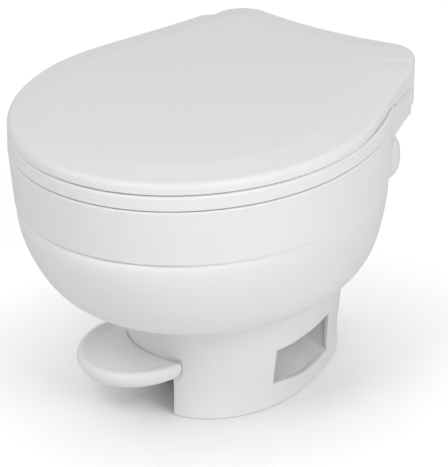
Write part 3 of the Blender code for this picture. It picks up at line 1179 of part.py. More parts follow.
def make_spring(pedal_axis):
    """A torsion spring round the pedal shaft, both tails pointing forwards under the arms"""
    curve = bpy.data.curves.new("return_spring", "CURVE")
    curve.dimensions = "3D"
    curve.bevel_depth = SPRING_WIRE_RADIUS
    curve.bevel_resolution = 1
    curve.use_fill_caps = True
    per_turn = 8
    half = SPRING_PITCH * SPRING_TURNS / 2
    points = [Vector((-half, -SPRING_RADIUS * 0.2 - SPRING_TAIL, -SPRING_RADIUS))]
    for i in range(per_turn * SPRING_TURNS + 1):
        turn = 2 * math.pi * i / per_turn
        points.append(Vector((-half + SPRING_PITCH * i / per_turn, SPRING_RADIUS * math.sin(turn),
                              -SPRING_RADIUS * math.cos(turn))))
    points.append(Vector((half, SPRING_TAIL, -SPRING_RADIUS)))
    spline = curve.splines.new("POLY")
    spline.points.add(len(points) - 1)
    for point, place in zip(spline.points, points):
        point.co = (*place, 1)
    spring = bpy.data.objects.new("return_spring", curve)
    curve.materials.append(finish("return_spring", **STEEL))
    PARTS.objects.link(spring)
    spring.parent = pedal_axis
    return spring


# Water side

def hose_between(name, start, start_way, end, end_way, radius, material):
    """A hollow hose that leaves both ends straight and curves between them"""
    first, last = start + start_way, end + end_way
    reach = (last - first).length * HOSE_HANDLE_SHARE
    curve = bezier(first, first + start_way.normalized() * reach, last + end_way.normalized() * reach, last, HOSE_STEPS)
    places = [start, *(Vector(place) for place in curve), last, end]
    across = Vector((1, 0, 0))
    outer, inner = [], []
    for i, place in enumerate(places):
        along = (places[min(i + 1, len(places) - 1)] - places[max(i - 1, 0)]).normalized()
        across = (across - along * across.dot(along)).normalized()
        other = along.cross(across)
        for rings, size in ((outer, radius), (inner, radius - HOSE_WALL)):
            rings.append([place + across * x + other * y for x, y in circle_at(size, count=SMALL_SIDES)])
    return loft(name, outer + list(reversed(inner)), material, cyclic=True)


def make_water_side():
    size = WATER_VALVE_SIZE
    low = Vector((INLET_X, WATER_VALVE_Y, INLET_Z)) - size / 2
    high = low + size
    valve = block("water_valve", low, high, GREY)
    cap = rod("water_valve_cap", (INLET_X, WATER_VALVE_Y, low.z + CLEARANCE), (INLET_X, WATER_VALVE_Y, low.z - WATER_VALVE_CAP),
              WATER_VALVE_CAP_RADIUS)
    port_end = high.z + SPIGOT_LENGTH
    port = rod("water_valve_port", (INLET_X, WATER_VALVE_Y, high.z - CLEARANCE), (INLET_X, WATER_VALVE_Y, port_end),
               SPIGOT_RADIUS, sides=SMALL_SIDES)
    join(valve, cap, port)
    collar_y = high.y + CLEARANCE
    profile = [(INLET_BORE_RADIUS, 0), (INLET_COLLAR_RADIUS, 0), (INLET_COLLAR_RADIUS, INLET_COLLAR),
               (INLET_RADIUS, INLET_COLLAR), (INLET_RADIUS, INLET_END_Y - collar_y),
               (INLET_BORE_RADIUS, INLET_END_Y - collar_y)]
    fitting = turned("inlet_fitting", list(reversed(profile)), GREY, None, ROUND_SIDES)
    fitting.location = (INLET_X, collar_y, INLET_Z)
    fitting.rotation_euler.x = -math.pi / 2
    breaker_top = BREAKER_BOTTOM_Z + BREAKER_HEIGHT
    side_z = BREAKER_BOTTOM_Z + BREAKER_HEIGHT / 2
    side_y = BREAKER_Y - BREAKER_RADIUS
    breaker = rod("vacuum_breaker", (BREAKER_X, BREAKER_Y, BREAKER_BOTTOM_Z), (BREAKER_X, BREAKER_Y, breaker_top),
                  BREAKER_RADIUS, GREY)
    breaker_in = rod("breaker_inlet", (BREAKER_X, BREAKER_Y, BREAKER_BOTTOM_Z - SPIGOT_LENGTH),
                     (BREAKER_X, BREAKER_Y, side_z), SPIGOT_RADIUS, sides=SMALL_SIDES)
    breaker_out = rod("breaker_outlet", (BREAKER_X, side_y - SPIGOT_LENGTH, side_z), (BREAKER_X, BREAKER_Y, side_z),
                      SPIGOT_RADIUS, sides=SMALL_SIDES)
    join(breaker, breaker_in, breaker_out)
    rod("breaker_cap", (BREAKER_X, BREAKER_Y, breaker_top + CLEARANCE),
        (BREAKER_X, BREAKER_Y, breaker_top + CLEARANCE + BREAKER_CAP), BREAKER_CAP_RADIUS, INNER_WHITE)
    start, end = Vector((INLET_X, WATER_VALVE_Y, high.z + CLEARANCE)), Vector((BREAKER_X, BREAKER_Y, BREAKER_BOTTOM_Z - CLEARANCE))
    up = Vector((0, 0, SPIGOT_LENGTH))
    hose_between("supply_hose", start, up, end, -up, HOSE_RADIUS, CLEAR_HOSE)
    flange_y = OPENING_REAR_Y + WALL + CLEARANCE * 2
    nozzle_end_y = flange_y + NOZZLE_FLANGE
    nozzle = rod("rim_nozzle", (0, OPENING_REAR_Y, NOZZLE_Z), (0, nozzle_end_y - CLEARANCE, NOZZLE_Z), NOZZLE_RADIUS, GREY)
    flange = rod("nozzle_flange", (0, flange_y, NOZZLE_Z), (0, nozzle_end_y, NOZZLE_Z), NOZZLE_FLANGE_RADIUS)
    spigot = rod("nozzle_spigot", (0, flange_y + CLEARANCE, NOZZLE_Z), (0, nozzle_end_y + SPIGOT_LENGTH, NOZZLE_Z),
                 SPIGOT_RADIUS, sides=SMALL_SIDES)
    join(nozzle, flange, spigot)
    start, end = Vector((BREAKER_X, side_y - CLEARANCE, side_z)), Vector((0, nozzle_end_y + CLEARANCE, NOZZLE_Z))
    out = Vector((0, SPIGOT_LENGTH, 0))
    hose_between("rim_hose", start, -out, end, out, HOSE_RADIUS, CLEAR_HOSE)


def make_rear_cover():
    """The rounded housing that stands out behind the bulb, hollowed to lie on it"""
    cover = block("rear_water_cover", (-COVER_HALF_LENGTH, COVER_REAR_Y - COVER_DEPTH, COVER_TOP_Z - COVER_HEIGHT),
                  (COVER_HALF_LENGTH, COVER_REAR_Y, COVER_TOP_Z), WHITE)
    bevel = cover.modifiers.new("round", "BEVEL")
    bevel.width = COVER_ROUND
    bevel.segments = 5
    bevel.limit_method = "ANGLE"
    inner = COVER_HALF_LENGTH - COVER_WALL
    hollow = block("cover_hollow", (-inner, COVER_REAR_Y - COVER_DEPTH * 2, COVER_TOP_Z - COVER_HEIGHT + COVER_WALL),
                   (inner, COVER_REAR_Y - COVER_WALL, COVER_TOP_Z - COVER_WALL))
    hollow_round = hollow.modifiers.new("round", "BEVEL")
    hollow_round.width = COVER_ROUND - COVER_WALL
    hollow_round.segments = 4
    cut(cover, hollow, loft("bulb_space", bulb_rings(CLEARANCE), None))
    return cover


def main():
    make_base()
    make_bowl()
    make_seat()
    make_seat_bumpers()
    make_lid()
    make_lid_bumpers()
    make_deck()
    make_hinge_hardware()
    frame = make_mechanism_frame()
    pedal_axis = make_axis("pedal_axis", frame, -PEDAL_PIVOT_REACH, PEDAL_PIVOT_Z)
    valve_axis = make_axis("valve_axis", frame, 0, BALL_Z)
    make_pedal(frame, pedal_axis)
    make_gears(pedal_axis, valve_axis)
    make_shafts(pedal_axis, valve_axis)
    make_ball(valve_axis)
    make_valve_body(frame)
    make_bushes(frame)
    make_seals(frame)
    make_spring(pedal_axis)
    make_water_side()
    make_rear_cover()
    bpy.context.view_layer.update()


main()
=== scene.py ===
# Low foot-pedal toilet for a touring vehicle: finishes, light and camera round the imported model
import json
import math
import bmesh
import bpy
from mathutils import Matrix, Vector


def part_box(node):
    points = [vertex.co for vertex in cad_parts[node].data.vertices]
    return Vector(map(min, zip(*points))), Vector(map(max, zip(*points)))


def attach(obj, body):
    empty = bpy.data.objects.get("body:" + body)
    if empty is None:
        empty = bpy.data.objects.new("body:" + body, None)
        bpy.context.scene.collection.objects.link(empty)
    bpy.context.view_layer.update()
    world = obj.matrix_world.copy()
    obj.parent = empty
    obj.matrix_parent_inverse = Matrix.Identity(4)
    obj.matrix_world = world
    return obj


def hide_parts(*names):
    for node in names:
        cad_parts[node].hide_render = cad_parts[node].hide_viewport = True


print("Loading the packed toilet")
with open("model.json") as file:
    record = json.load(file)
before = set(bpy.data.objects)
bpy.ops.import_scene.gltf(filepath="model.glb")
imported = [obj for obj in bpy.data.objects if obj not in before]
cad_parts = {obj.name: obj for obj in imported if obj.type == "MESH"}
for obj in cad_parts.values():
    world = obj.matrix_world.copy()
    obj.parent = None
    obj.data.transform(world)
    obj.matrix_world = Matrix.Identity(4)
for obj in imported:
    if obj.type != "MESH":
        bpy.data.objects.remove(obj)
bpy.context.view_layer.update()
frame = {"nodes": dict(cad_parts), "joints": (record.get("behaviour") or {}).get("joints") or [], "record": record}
nodes = frame["nodes"]

# Camera
cameraPlace = {
    "around": 33.92,  # degrees from the front, towards the side without the pedal
    "down": 25.15,
    "distance": 4.0,
    "aim": (0.0111, 0.0095, 0.1843),
    "lens": 294.3,
    "sensor": 36.0,
    "farClip": 30.0,
}


def placeCamera(sizes):
    around, down = math.radians(sizes["around"]), math.radians(sizes["down"])
    back = Vector((math.sin(around) * math.cos(down), -math.cos(around) * math.cos(down), math.sin(down)))
    right = Vector((math.cos(around), math.sin(around), 0))
    up = back.cross(right)
    eye = bpy.data.cameras.new("studioCamera")
    eye.lens = sizes["lens"]
    eye.sensor_width = sizes["sensor"]
    eye.clip_end = sizes["farClip"]
    camera = bpy.data.objects.new("studioCamera", eye)
    bpy.context.scene.collection.objects.link(camera)
    turn = Matrix((right, up, back)).transposed().to_4x4()
    turn.translation = Vector(sizes["aim"]) + back * sizes["distance"]
    camera.matrix_world = turn
    bpy.context.scene.camera = camera


placeCamera(cameraPlace)
print("Camera placed")

# Studio
studio = {
    "floorSize": 14.0,
    "floorDrop": 0.0004,
    "floorRough": 0.9,
    "floorShine": 0.1,
    "floorBounce": 0.90,  # the floor's shade as the toilet meets it
    "floorShade": 0.66,  # and as the camera does, with the glow added
    "floorGlow": 0.60,
    "shadowReach": 0.24,
    "shadowSamples": 16,
    "skyStrength": 0.44,
    "lampAim": (0, 0, 0.2),
    "lamps": {
        "keyLamp": {"place": (2.5, -0.8, 1.8), "size": 1.4, "power": 31.0},
        "frontLamp": {"place": (0.3, -2.0, 2.3), "size": 0.8, "power": 16.0},
        "sideLamp": {"place": (-2.0, -1.8, 2.0), "size": 2.0, "power": 9.0},
    },
}


def addLamp(name, sizes, aim):
    lamp = bpy.data.lights.new(name, "AREA")
    lamp.shape = "DISK"
    lamp.size = sizes["size"]
    lamp.energy = sizes["power"]
    holder = bpy.data.objects.new(name, lamp)
    bpy.context.scene.collection.objects.link(holder)
    holder.location = sizes["place"]
    holder.rotation_euler = (Vector(aim) - holder.location).to_track_quat("-Z", "Y").to_euler()


def setInputs(node, values):
    for label, value in values.items():
        node.inputs[label].default_value = value


def mathNode(tree, operation):
    node = tree.nodes.new("ShaderNodeMath")
    node.operation = operation
    return node


def setSky(strength):
    # The camera and reflections see white, and the toilet is lit by the sky's own strength
    world = bpy.data.worlds.new("studioSky")
    bpy.context.scene.world = world
    world.use_nodes = True
    tree = world.node_tree
    add, link = tree.nodes.new, tree.links.new
    background = tree.nodes["Background"]
    setInputs(background, {"Color": (1, 1, 1, 1)})
    rays = add("ShaderNodeLightPath")
    seen, mirrored = mathNode(tree, "MAXIMUM"), mathNode(tree, "MAXIMUM")
    pick = add("ShaderNodeMapRange")
    setInputs(pick, {"To Min": strength, "To Max": 1})
    link(rays.outputs["Is Camera Ray"], seen.inputs[0])
    link(rays.outputs["Is Transmission Ray"], seen.inputs[1])
    link(seen.outputs[0], mirrored.inputs[0])
    link(rays.outputs["Is Glossy Ray"], mirrored.inputs[1])
    link(mirrored.outputs[0], pick.inputs["Value"])
    link(pick.outputs["Result"], background.inputs["Strength"])


def layFloor(sizes):
    half = sizes["floorSize"] / 2
    mesh = bpy.data.meshes.new("studioFloor")
    mesh.from_pydata([(-half, -half, 0), (half, -half, 0), (half, half, 0), (-half, half, 0)], [], [(0, 1, 2, 3)])
    floor = bpy.data.objects.new("studioFloor", mesh)
    bpy.context.scene.collection.objects.link(floor)
    floor.location.z = -sizes["floorDrop"]
    paint = bpy.data.materials.new("floorPaint")
    paint.use_nodes = True
    tree = paint.node_tree
    add, link = tree.nodes.new, tree.links.new
    shader = tree.nodes["Principled BSDF"]
    setInputs(shader, {"Roughness": sizes["floorRough"], "Specular IOR Level": sizes["floorShine"],
                       "Emission Color": (1, 1, 1, 1)})
    rays = add("ShaderNodeLightPath")
    shade = add("ShaderNodeMapRange")
    setInputs(shade, {"To Min": sizes["floorBounce"], "To Max": sizes["floorShade"]})
    link(rays.outputs["Is Camera Ray"], shade.inputs["Value"])
    link(shade.outputs["Result"], shader.inputs["Base Color"])
    # Ambient occlusion dims the floor's glow for the camera near the toilet: a painted shadow round its foot, on top
    # of the shadows the lamps cast
    near = add("ShaderNodeAmbientOcclusion")
    near.samples = sizes["shadowSamples"]
    setInputs(near, {"Distance": sizes["shadowReach"]})
    paintedShadow, full = mathNode(tree, "MULTIPLY"), mathNode(tree, "MULTIPLY")
    link(rays.outputs["Is Camera Ray"], paintedShadow.inputs[0])
    link(near.outputs["AO"], paintedShadow.inputs[1])
    link(paintedShadow.outputs[0], full.inputs[0])
    setInputs(full, {1: sizes["floorGlow"]})
    link(full.outputs[0], shader.inputs["Emission Strength"])
    mesh.materials.append(paint)


setSky(studio["skyStrength"])
layFloor(studio)
for name, sizes in studio["lamps"].items():
    addLamp(name, sizes, studio["lampAim"])
bpy.context.scene.view_settings.view_transform = "Standard"
print("Studio lit")


# Moulded surface that every finish shares: cloudy tint, uneven gloss and fine grain
surface = {
    "cloudScale": 14,
    "cloudDetail": 3,
    "wipeScale": 45,
    "wipeDetail": 4,
    "grainDetail": 2,
    "grainDepth": 0.0004,
    "creaseAngle": 38,
}


def buildMouldedSkin(sizes):
    group = bpy.data.node_groups.new("mouldedSkin", "ShaderNodeTree")
    add, link = group.nodes.new, group.links.new
    sockets = [("INPUT", "Color", "Colour"), ("OUTPUT", "Color", "Colour"), ("OUTPUT", "Float", "Roughness"),
               ("OUTPUT", "Vector", "Normal")]
    sockets += [("INPUT", "Float", label) for label in ("Tint", "Gloss", "Gloss Spread", "Grain Size", "Grain Height")]
    for way, kind, label in sockets:
        group.interface.new_socket(name=label, in_out=way, socket_type="NodeSocket" + kind)
    given, result = add("NodeGroupInput"), add("NodeGroupOutput")
    place = add("ShaderNodeTexCoord")
    cloud = add("ShaderNodeTexNoise")
    setInputs(cloud, {"Scale": sizes["cloudScale"], "Detail": sizes["cloudDetail"]})
    link(place.outputs["Object"], cloud.inputs["Vector"])
    shade = add("ShaderNodeMapRange")
    setInputs(shade, {"To Min": 1})
    link(cloud.outputs["Fac"], shade.inputs["Value"])
    darkest = mathNode(group, "SUBTRACT")
    setInputs(darkest, {0: 1})
    link(given.outputs["Tint"], darkest.inputs[1])
    link(darkest.outputs[0], shade.inputs["To Max"])
    scaled = add("ShaderNodeVectorMath")
    scaled.operation = "SCALE"
    link(given.outputs["Colour"], scaled.inputs[0])
    link(shade.outputs["Result"], scaled.inputs["Scale"])
    link(scaled.outputs["Vector"], result.inputs["Colour"])
    wipe = add("ShaderNodeTexNoise")
    setInputs(wipe, {"Scale": sizes["wipeScale"], "Detail": sizes["wipeDetail"]})
    link(place.outputs["Object"], wipe.inputs["Vector"])
    spread = mathNode(group, "MULTIPLY_ADD")
    link(wipe.outputs["Fac"], spread.inputs[0])
    link(given.outputs["Gloss Spread"], spread.inputs[1])
    link(given.outputs["Gloss"], spread.inputs[2])
    link(spread.outputs[0], result.inputs["Roughness"])
    grain = add("ShaderNodeTexNoise")
    setInputs(grain, {"Detail": sizes["grainDetail"]})
    link(place.outputs["Object"], grain.inputs["Vector"])
    link(given.outputs["Grain Size"], grain.inputs["Scale"])
    bump = add("ShaderNodeBump")
    setInputs(bump, {"Distance": sizes["grainDepth"]})
    link(grain.outputs["Fac"], bump.inputs["Height"])
    link(given.outputs["Grain Height"], bump.inputs["Strength"])
    link(bump.outputs["Normal"], result.inputs["Normal"])
    return group


mouldedSkin = buildMouldedSkin(surface)

finishes = {
    "shellWhite": {"colour": (0.86, 0.86, 0.855), "tint": 0.012, "gloss": 0.30, "spread": 0.05,
                   "grain": 1400, "height": 0.02, "metal": 0, "shine": 0.3},
    "lidWhite": {"colour": (0.86, 0.86, 0.855), "tint": 0.012, "gloss": 0.34, "spread": 0.06,
                 "grain": 1800, "height": 0.03, "metal": 0, "shine": 0.3},
    "innerWhite": {"colour": (0.74, 0.74, 0.72), "tint": 0.03, "gloss": 0.45, "spread": 0.08,
                   "grain": 900, "height": 0.05, "metal": 0, "shine": 0.5},
    "gearGrey": {"colour": (0.42, 0.43, 0.44), "tint": 0.06, "gloss": 0.42, "spread": 0.1,
                 "grain": 1200, "height": 0.06, "metal": 0, "shine": 0.5},
    "hoseMilky": {"colour": (0.62, 0.64, 0.66), "tint": 0.05, "gloss": 0.3, "spread": 0.1,
                  "grain": 500, "height": 0.03, "metal": 0, "shine": 0.5},
    "sealRubber": {"colour": (0.03, 0.03, 0.03), "tint": 0.25, "gloss": 0.62, "spread": 0.2,
                   "grain": 1500, "height": 0.12, "metal": 0, "shine": 0.5},
    "plainSteel": {"colour": (0.62, 0.62, 0.63), "tint": 0.08, "gloss": 0.24, "spread": 0.16,
                   "grain": 2400, "height": 0.05, "metal": 1, "shine": 0.5},
}


def makeFinish(name, sizes):
    paint = bpy.data.materials.new(name)
    paint.use_nodes = True
    tree = paint.node_tree
    shader = tree.nodes["Principled BSDF"]
    skin = tree.nodes.new("ShaderNodeGroup")
    skin.node_tree = mouldedSkin
    setInputs(skin, {"Colour": (*sizes["colour"], 1), "Tint": sizes["tint"], "Gloss": sizes["gloss"],
                     "Gloss Spread": sizes["spread"], "Grain Size": sizes["grain"],
                     "Grain Height": sizes["height"]})
    for output, entry in (("Colour", "Base Color"), ("Roughness", "Roughness"), ("Normal", "Normal")):
        tree.links.new(skin.outputs[output], shader.inputs[entry])
    setInputs(shader, {"Metallic": sizes["metal"], "Specular IOR Level": sizes["shine"]})
    return paint


paints = {name: makeFinish(name, sizes) for name, sizes in finishes.items()}
slotPaints = {
    "white_plastic": "shellWhite", "inner_plastic": "innerWhite", "grey_plastic": "gearGrey",
    "hose_plastic": "hoseMilky", "black_rubber": "sealRubber", "steel": "plainSteel",
}


def dressNodes():
    for part in frame["record"]["subparts"]:
        piece = nodes[part["node"]]
        piece.data.materials.clear()
        piece.data.materials.append(paints[slotPaints[part["material_slot"]]])


dressNodes()
print("Finishes on every packed piece")

# Ways of shaping shells that several pieces share
stations = 180  # points in every oval ring
tiny = 1e-9  # keeps two rings that touch from dividing by nothing


def easeIn(value, start, run):
    share = min(max((value - start) / run, 0), 1)
    return share * share * (3 - 2 * share)


def sideReach(points, y):
    # How far out a half outline, drawn from front to rear, lies at this length
    for (ax, ay), (bx, by) in zip(points, points[1:]):
        if ay <= y <= by:
            return ax + (bx - ax) * (y - ay) / (by - ay)
    return points[-1][0]


def quarterTurn(steps, first=0):
    # Sine and cosine at even steps from upright to flat
    turns = [math.pi / 2 * i / steps for i in range(first, steps + 1)]
    return [(math.sin(turn), math.cos(turn)) for turn in turns]


def eggRing(halfWidth, frontY, rearY, widestY, z):
    ring = []
    for i in range(stations):
        turn = 2 * math.pi * i / stations - math.pi / 2
        reach = widestY - frontY if math.sin(turn) < 0 else rearY - widestY
        ring.append(Vector((halfWidth * math.cos(turn), widestY + reach * math.sin(turn), z)))
    return ring


def outletRing(radius, z):
    return eggRing(radius, outletY - radius, outletY + radius, outletY, z)


def mixRings(first, second, share, z):
    return [Vector((b.x + (a.x - b.x) * share, b.y + (a.y - b.y) * share, z))
            for a, b in zip(first, second)]


def shiftRing(ring, other, distance, z):
    moved = []
    for a, b in zip(ring, other):
        way = Vector((b.x - a.x, b.y - a.y, 0)).normalized() * distance
        moved.append(Vector((a.x + way.x, a.y + way.y, z)))
    return moved


def atHeight(ring, z):
    return [Vector((p.x, p.y, z)) for p in ring]


def smoothRings(rings, steps, corners=()):
    # Extra rings on a smooth curve through the given ones, with a sharp turn only at the corners
    last = len(rings) - 1
    fine = []
    for k in range(last):
        rows = [[] for _ in range(steps)]
        for i, (p, q) in enumerate(zip(rings[k], rings[k + 1])):
            run = (q - p).length or tiny
            along = (q - p) / run
            leave = meet = along
            if k > 0 and k not in corners:
                before = (p - rings[k - 1][i]).length or tiny
                leave = ((p - rings[k - 1][i]) / before * run + along * before) / (before + run)
            if k + 1 < last and k + 1 not in corners:
                after = (rings[k + 2][i] - q).length or tiny
                meet = (along * after + (rings[k + 2][i] - q) / after * run) / (after + run)
            for s in range(steps):
                t = s / steps
                square, cube = t * t, t ** 3
                rows[s].append(p * (2 * cube - 3 * square + 1) + leave * (run * (cube - 2 * square + t))
                               + q * (3 * square - 2 * cube) + meet * (run * (cube - square)))
        fine += rows
    return fine + [rings[last]]


def thickenRings(rings, distance):
    moved = []
    for k, ring in enumerate(rings):
        above, below = rings[max(k - 1, 0)], rings[min(k + 1, len(rings) - 1)]
        along = [ring[(i + 1) % len(ring)] - ring[i - 1] for i in range(len(ring))]
        moved.append([point + (below[i] - above[i]).cross(along[i]).normalized() * distance
                      for i, point in enumerate(ring)])
    return moved


def roundEdge(ring, inner, startZ, endZ, radius, steps):
    # Rings round a quarter turn, from upright at the start height to flat at the end height
    return [shiftRing(ring, inner, radius * (1 - out), startZ + (endZ - startZ) * rise)
            for rise, out in quarterTurn(steps, 1)]


def addPiece(name, form, place=None):
    if place is not None:
        bmesh.ops.transform(form, matrix=place, verts=form.verts)
    bmesh.ops.recalc_face_normals(form, faces=form.faces)
    mesh = bpy.data.meshes.new(name)
    form.to_mesh(mesh)
    form.free()
    piece = bpy.data.objects.new(name, mesh)
    bpy.context.scene.collection.objects.link(piece)
    return piece


def loftPiece(name, rings, closed=False, place=None):
    form = bmesh.new()
    rows = [[form.verts.new(point) for point in ring] for ring in rings]
    pairs = list(zip(rows, rows[1:]))
    if closed:
        pairs.append((rows[-1], rows[0]))
    for upper, lower in pairs:
        count = len(upper)
        for i in range(count):
            j = (i + 1) % count
            form.faces.new((upper[i], upper[j], lower[j], lower[i]))
    if not closed:
        form.faces.new(rows[0])
        form.faces.new(rows[-1])
    return addPiece(name, form, place)


def boxTool(low, high, place=None):
    (lowX, lowY, lowZ), (highX, highY, highZ) = low, high
    corners = [[Vector((x, y, z)) for x, y in ((lowX, lowY), (highX, lowY), (highX, highY), (lowX, highY))]
               for z in (lowZ, highZ)]
    return loftPiece("boxTool", corners, place=place)


def rodTool(start, end, radius, sides=32, place=None):
    start, end = Vector(start), Vector(end)
    turn = (end - start).to_track_quat("Z", "Y").to_matrix()
    angles = [2 * math.pi * i / sides for i in range(sides)]
    rings = [[point + turn @ Vector((radius * math.cos(angle), radius * math.sin(angle), 0)) for angle in angles]
             for point in (start, end)]
    return loftPiece("rodTool", rings, place=place)


def slabTool(side, lowX, highX):
    # A side view drawn in Y and Z, run along X
    return loftPiece("slabTool", [[Vector((x, y, z)) for y, z in side] for x in (lowX, highX)])


def roundedSide(lowY, highY, lowZ, highZ, radius, steps=5):
    side = []
    for y, z, first in ((highY - radius, highZ - radius, 0), (lowY + radius, highZ - radius, 1),
                        (lowY + radius, lowZ + radius, 2), (highY - radius, lowZ + radius, 3)):
        for i in range(steps + 1):
            turn = math.pi / 2 * (first + i / steps)
            side.append((y + radius * math.cos(turn), z + radius * math.sin(turn)))
    return side


def pinTool(lowX, highX, radius, sides):
    # A rod on the hinge line of the seat and the lid
    return rodTool((lowX, seatPivot.y, seatPivot.z), (highX, seatPivot.y, seatPivot.z), radius, sides)


def postTool(place, lowZ, highZ, radius, sides=32):
    return rodTool((place.x, place.y, lowZ), (place.x, place.y, highZ), radius, sides)


def settle(piece):
    # Makes the modifiers part of the mesh
    bpy.context.view_layer.update()
    shaped = bpy.data.meshes.new_from_object(piece.evaluated_get(bpy.context.evaluated_depsgraph_get()))
    piece.modifiers.clear()
    piece.data = shaped


def shapeWith(piece, tools, way="DIFFERENCE"):
    for tool in tools:
        step = piece.modifiers.new("shape", "BOOLEAN")
        step.operation = way
        step.solver = "MANIFOLD"
        step.object = tool
    settle(piece)
    for tool in tools:
        bpy.data.objects.remove(tool)


def standFor(piece, node, body, paint):
    piece.data.materials.clear()
    piece.data.materials.append(paint)
    for face in piece.data.polygons:
        face.material_index = 0
    piece.data.shade_smooth()
    piece.data.set_sharp_from_angle(angle=math.radians(surface["creaseAngle"]))
    level = piece.modifiers.new("level", "WEIGHTED_NORMAL")
    level.keep_sharp = True
    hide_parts(node)
    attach(piece, body)


# Plan that the rim, seat and base share
bowlLow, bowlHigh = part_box("bowl")
seatLow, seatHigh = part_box("seat")
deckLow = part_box("hinge_deck")[0]
coverLow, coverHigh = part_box("rear_water_cover")
hinges = {joint["name"]: joint for joint in frame["joints"]}
seatPivot = Vector(hinges["seat_hinge"]["pos_m"])
pedalPivot = Vector(hinges["pedal_hinge"]["pos_m"])
ballPivot = Vector(hinges["ball_hinge"]["pos_m"])
pedalAxis = hinges["pedal_hinge"]["axis"]
mechanismTurn = math.atan2(pedalAxis[1], pedalAxis[0])
plan = {
    "widestY": -0.0205,
    "rearY": 0.2209,
    "bandHeight": 0.0612,
    "bandTaper": 0.0031,
    "bandFrontTaper": 0.0094,
    "seatGap": 0.0007,  # between the seat and the deck
    "lidGap": 0.0015,  # between the seat and the lid
    "deckOverhang": 0.0026,
    "clearance": 0.0003,
    "overrun": 0.02,
    "cornerShare": 0.3,  # where the middle of a rounded corner lies, as a share of its radius
    "screwSides": 20,
    "boreSides": 24,
    "eyeSides": 40,
}
outletY = ballPivot.y
bowlBandBottom = bowlHigh.z - plan["bandHeight"]
seatEdgeY = deckLow.y - plan["seatGap"]
lidBottom = seatHigh.z + plan["lidGap"]
deckRear = plan["rearY"] + plan["deckOverhang"]
deckTop = seatHigh.z


def rimRing(inset, z):
    return eggRing(bowlHigh.x - inset, bowlLow.y + inset, plan["rearY"] - inset, plan["widestY"], z)


def bandFootRing(inset, z):
    taper, frontTaper = plan["bandTaper"], plan["bandFrontTaper"]
    return eggRing(bowlHigh.x - taper - inset, bowlLow.y + frontTaper + inset, plan["rearY"] - taper - inset,
                   plan["widestY"], z)


# Sizes of the pedal, which the foot is shaped round, laid out from the outlet's axis along the pedal
pedal = {
    "pivotHeight": 0.0460,
    "centreReach": 0.1238,
    "radius": 0.0668,
    "innerReach": 0.1260,
    "innerArc": 0.0980,
    "cornerRun": 0.0180,
    "topHeight": 0.0670,
    "frontDrop": 0.0070,
    "thickness": 0.0200,
    "dish": 0.0038,
    "lip": 0.0050,
    "dishRows": ((5, 1), (3, 0.8), (1.6, 0.2), (1, 0)),  # inset in lips, share of the dish
    "sideRows": ((0.2, 0.55), (1, 0.85), (2.4, 1), (5, 1)),  # inset in lips, share of the thickness
    "rearEdge": 0.15,  # how much of the front's rounding the rear edge has
    "armX": 0.0285,
    "armWidth": 0.0080,
    "armHeight": 0.0130,
    "eyeRadius": 0.0100,
    "eyeSides": 48,
    "boreRadius": 0.0053,
    "barReach": 0.0190,
    "barThickness": 0.0040,
    "barBottom": -0.0054,
    "frontSteps": 64,
    "cornerSteps": 10,
    "rearSteps": 32,
}


def softCorner(start, tip, end, steps):
    return [tuple((1 - t) ** 2 * a + 2 * t * (1 - t) * b + t * t * c for a, b, c in zip(start, tip, end))
            for t in [i / steps for i in range(1, steps)]]


def pedalOutline(inset):
    reach = pedal["centreReach"]
    arcCentre = -pedal["innerReach"] + pedal["innerArc"]
    innerRadius, outerRadius = pedal["innerArc"] + inset, pedal["radius"] - inset
    gap = arcCentre + reach
    meet = (gap * gap + innerRadius ** 2 - outerRadius ** 2) / (2 * gap)
    meetX = math.sqrt(innerRadius ** 2 - meet ** 2)
    meetY = arcCentre - meet
    run = max(pedal["cornerRun"] - inset, pedal["cornerRun"] / 3)
    outerFrom = math.atan2(meetY + reach, meetX) - run / outerRadius
    innerFrom = math.atan2(meetX, meet) - run / innerRadius
    frontSteps, rearSteps, cornerSteps = pedal["frontSteps"], pedal["rearSteps"], pedal["cornerSteps"]
    front = [(outerRadius * math.cos(turn), -reach + outerRadius * math.sin(turn))
             for turn in [math.pi - outerFrom + (math.pi + 2 * outerFrom) * i / frontSteps
                          for i in range(frontSteps + 1)]]
    rear = [(innerRadius * math.sin(turn), arcCentre - innerRadius * math.cos(turn))
            for turn in [innerFrom - 2 * innerFrom * i / rearSteps for i in range(rearSteps + 1)]]
    rightTip = softCorner(front[-1], (meetX, meetY), rear[0], cornerSteps)
    return front + rightTip + rear + softCorner(rear[-1], (-meetX, meetY), front[0], cornerSteps)


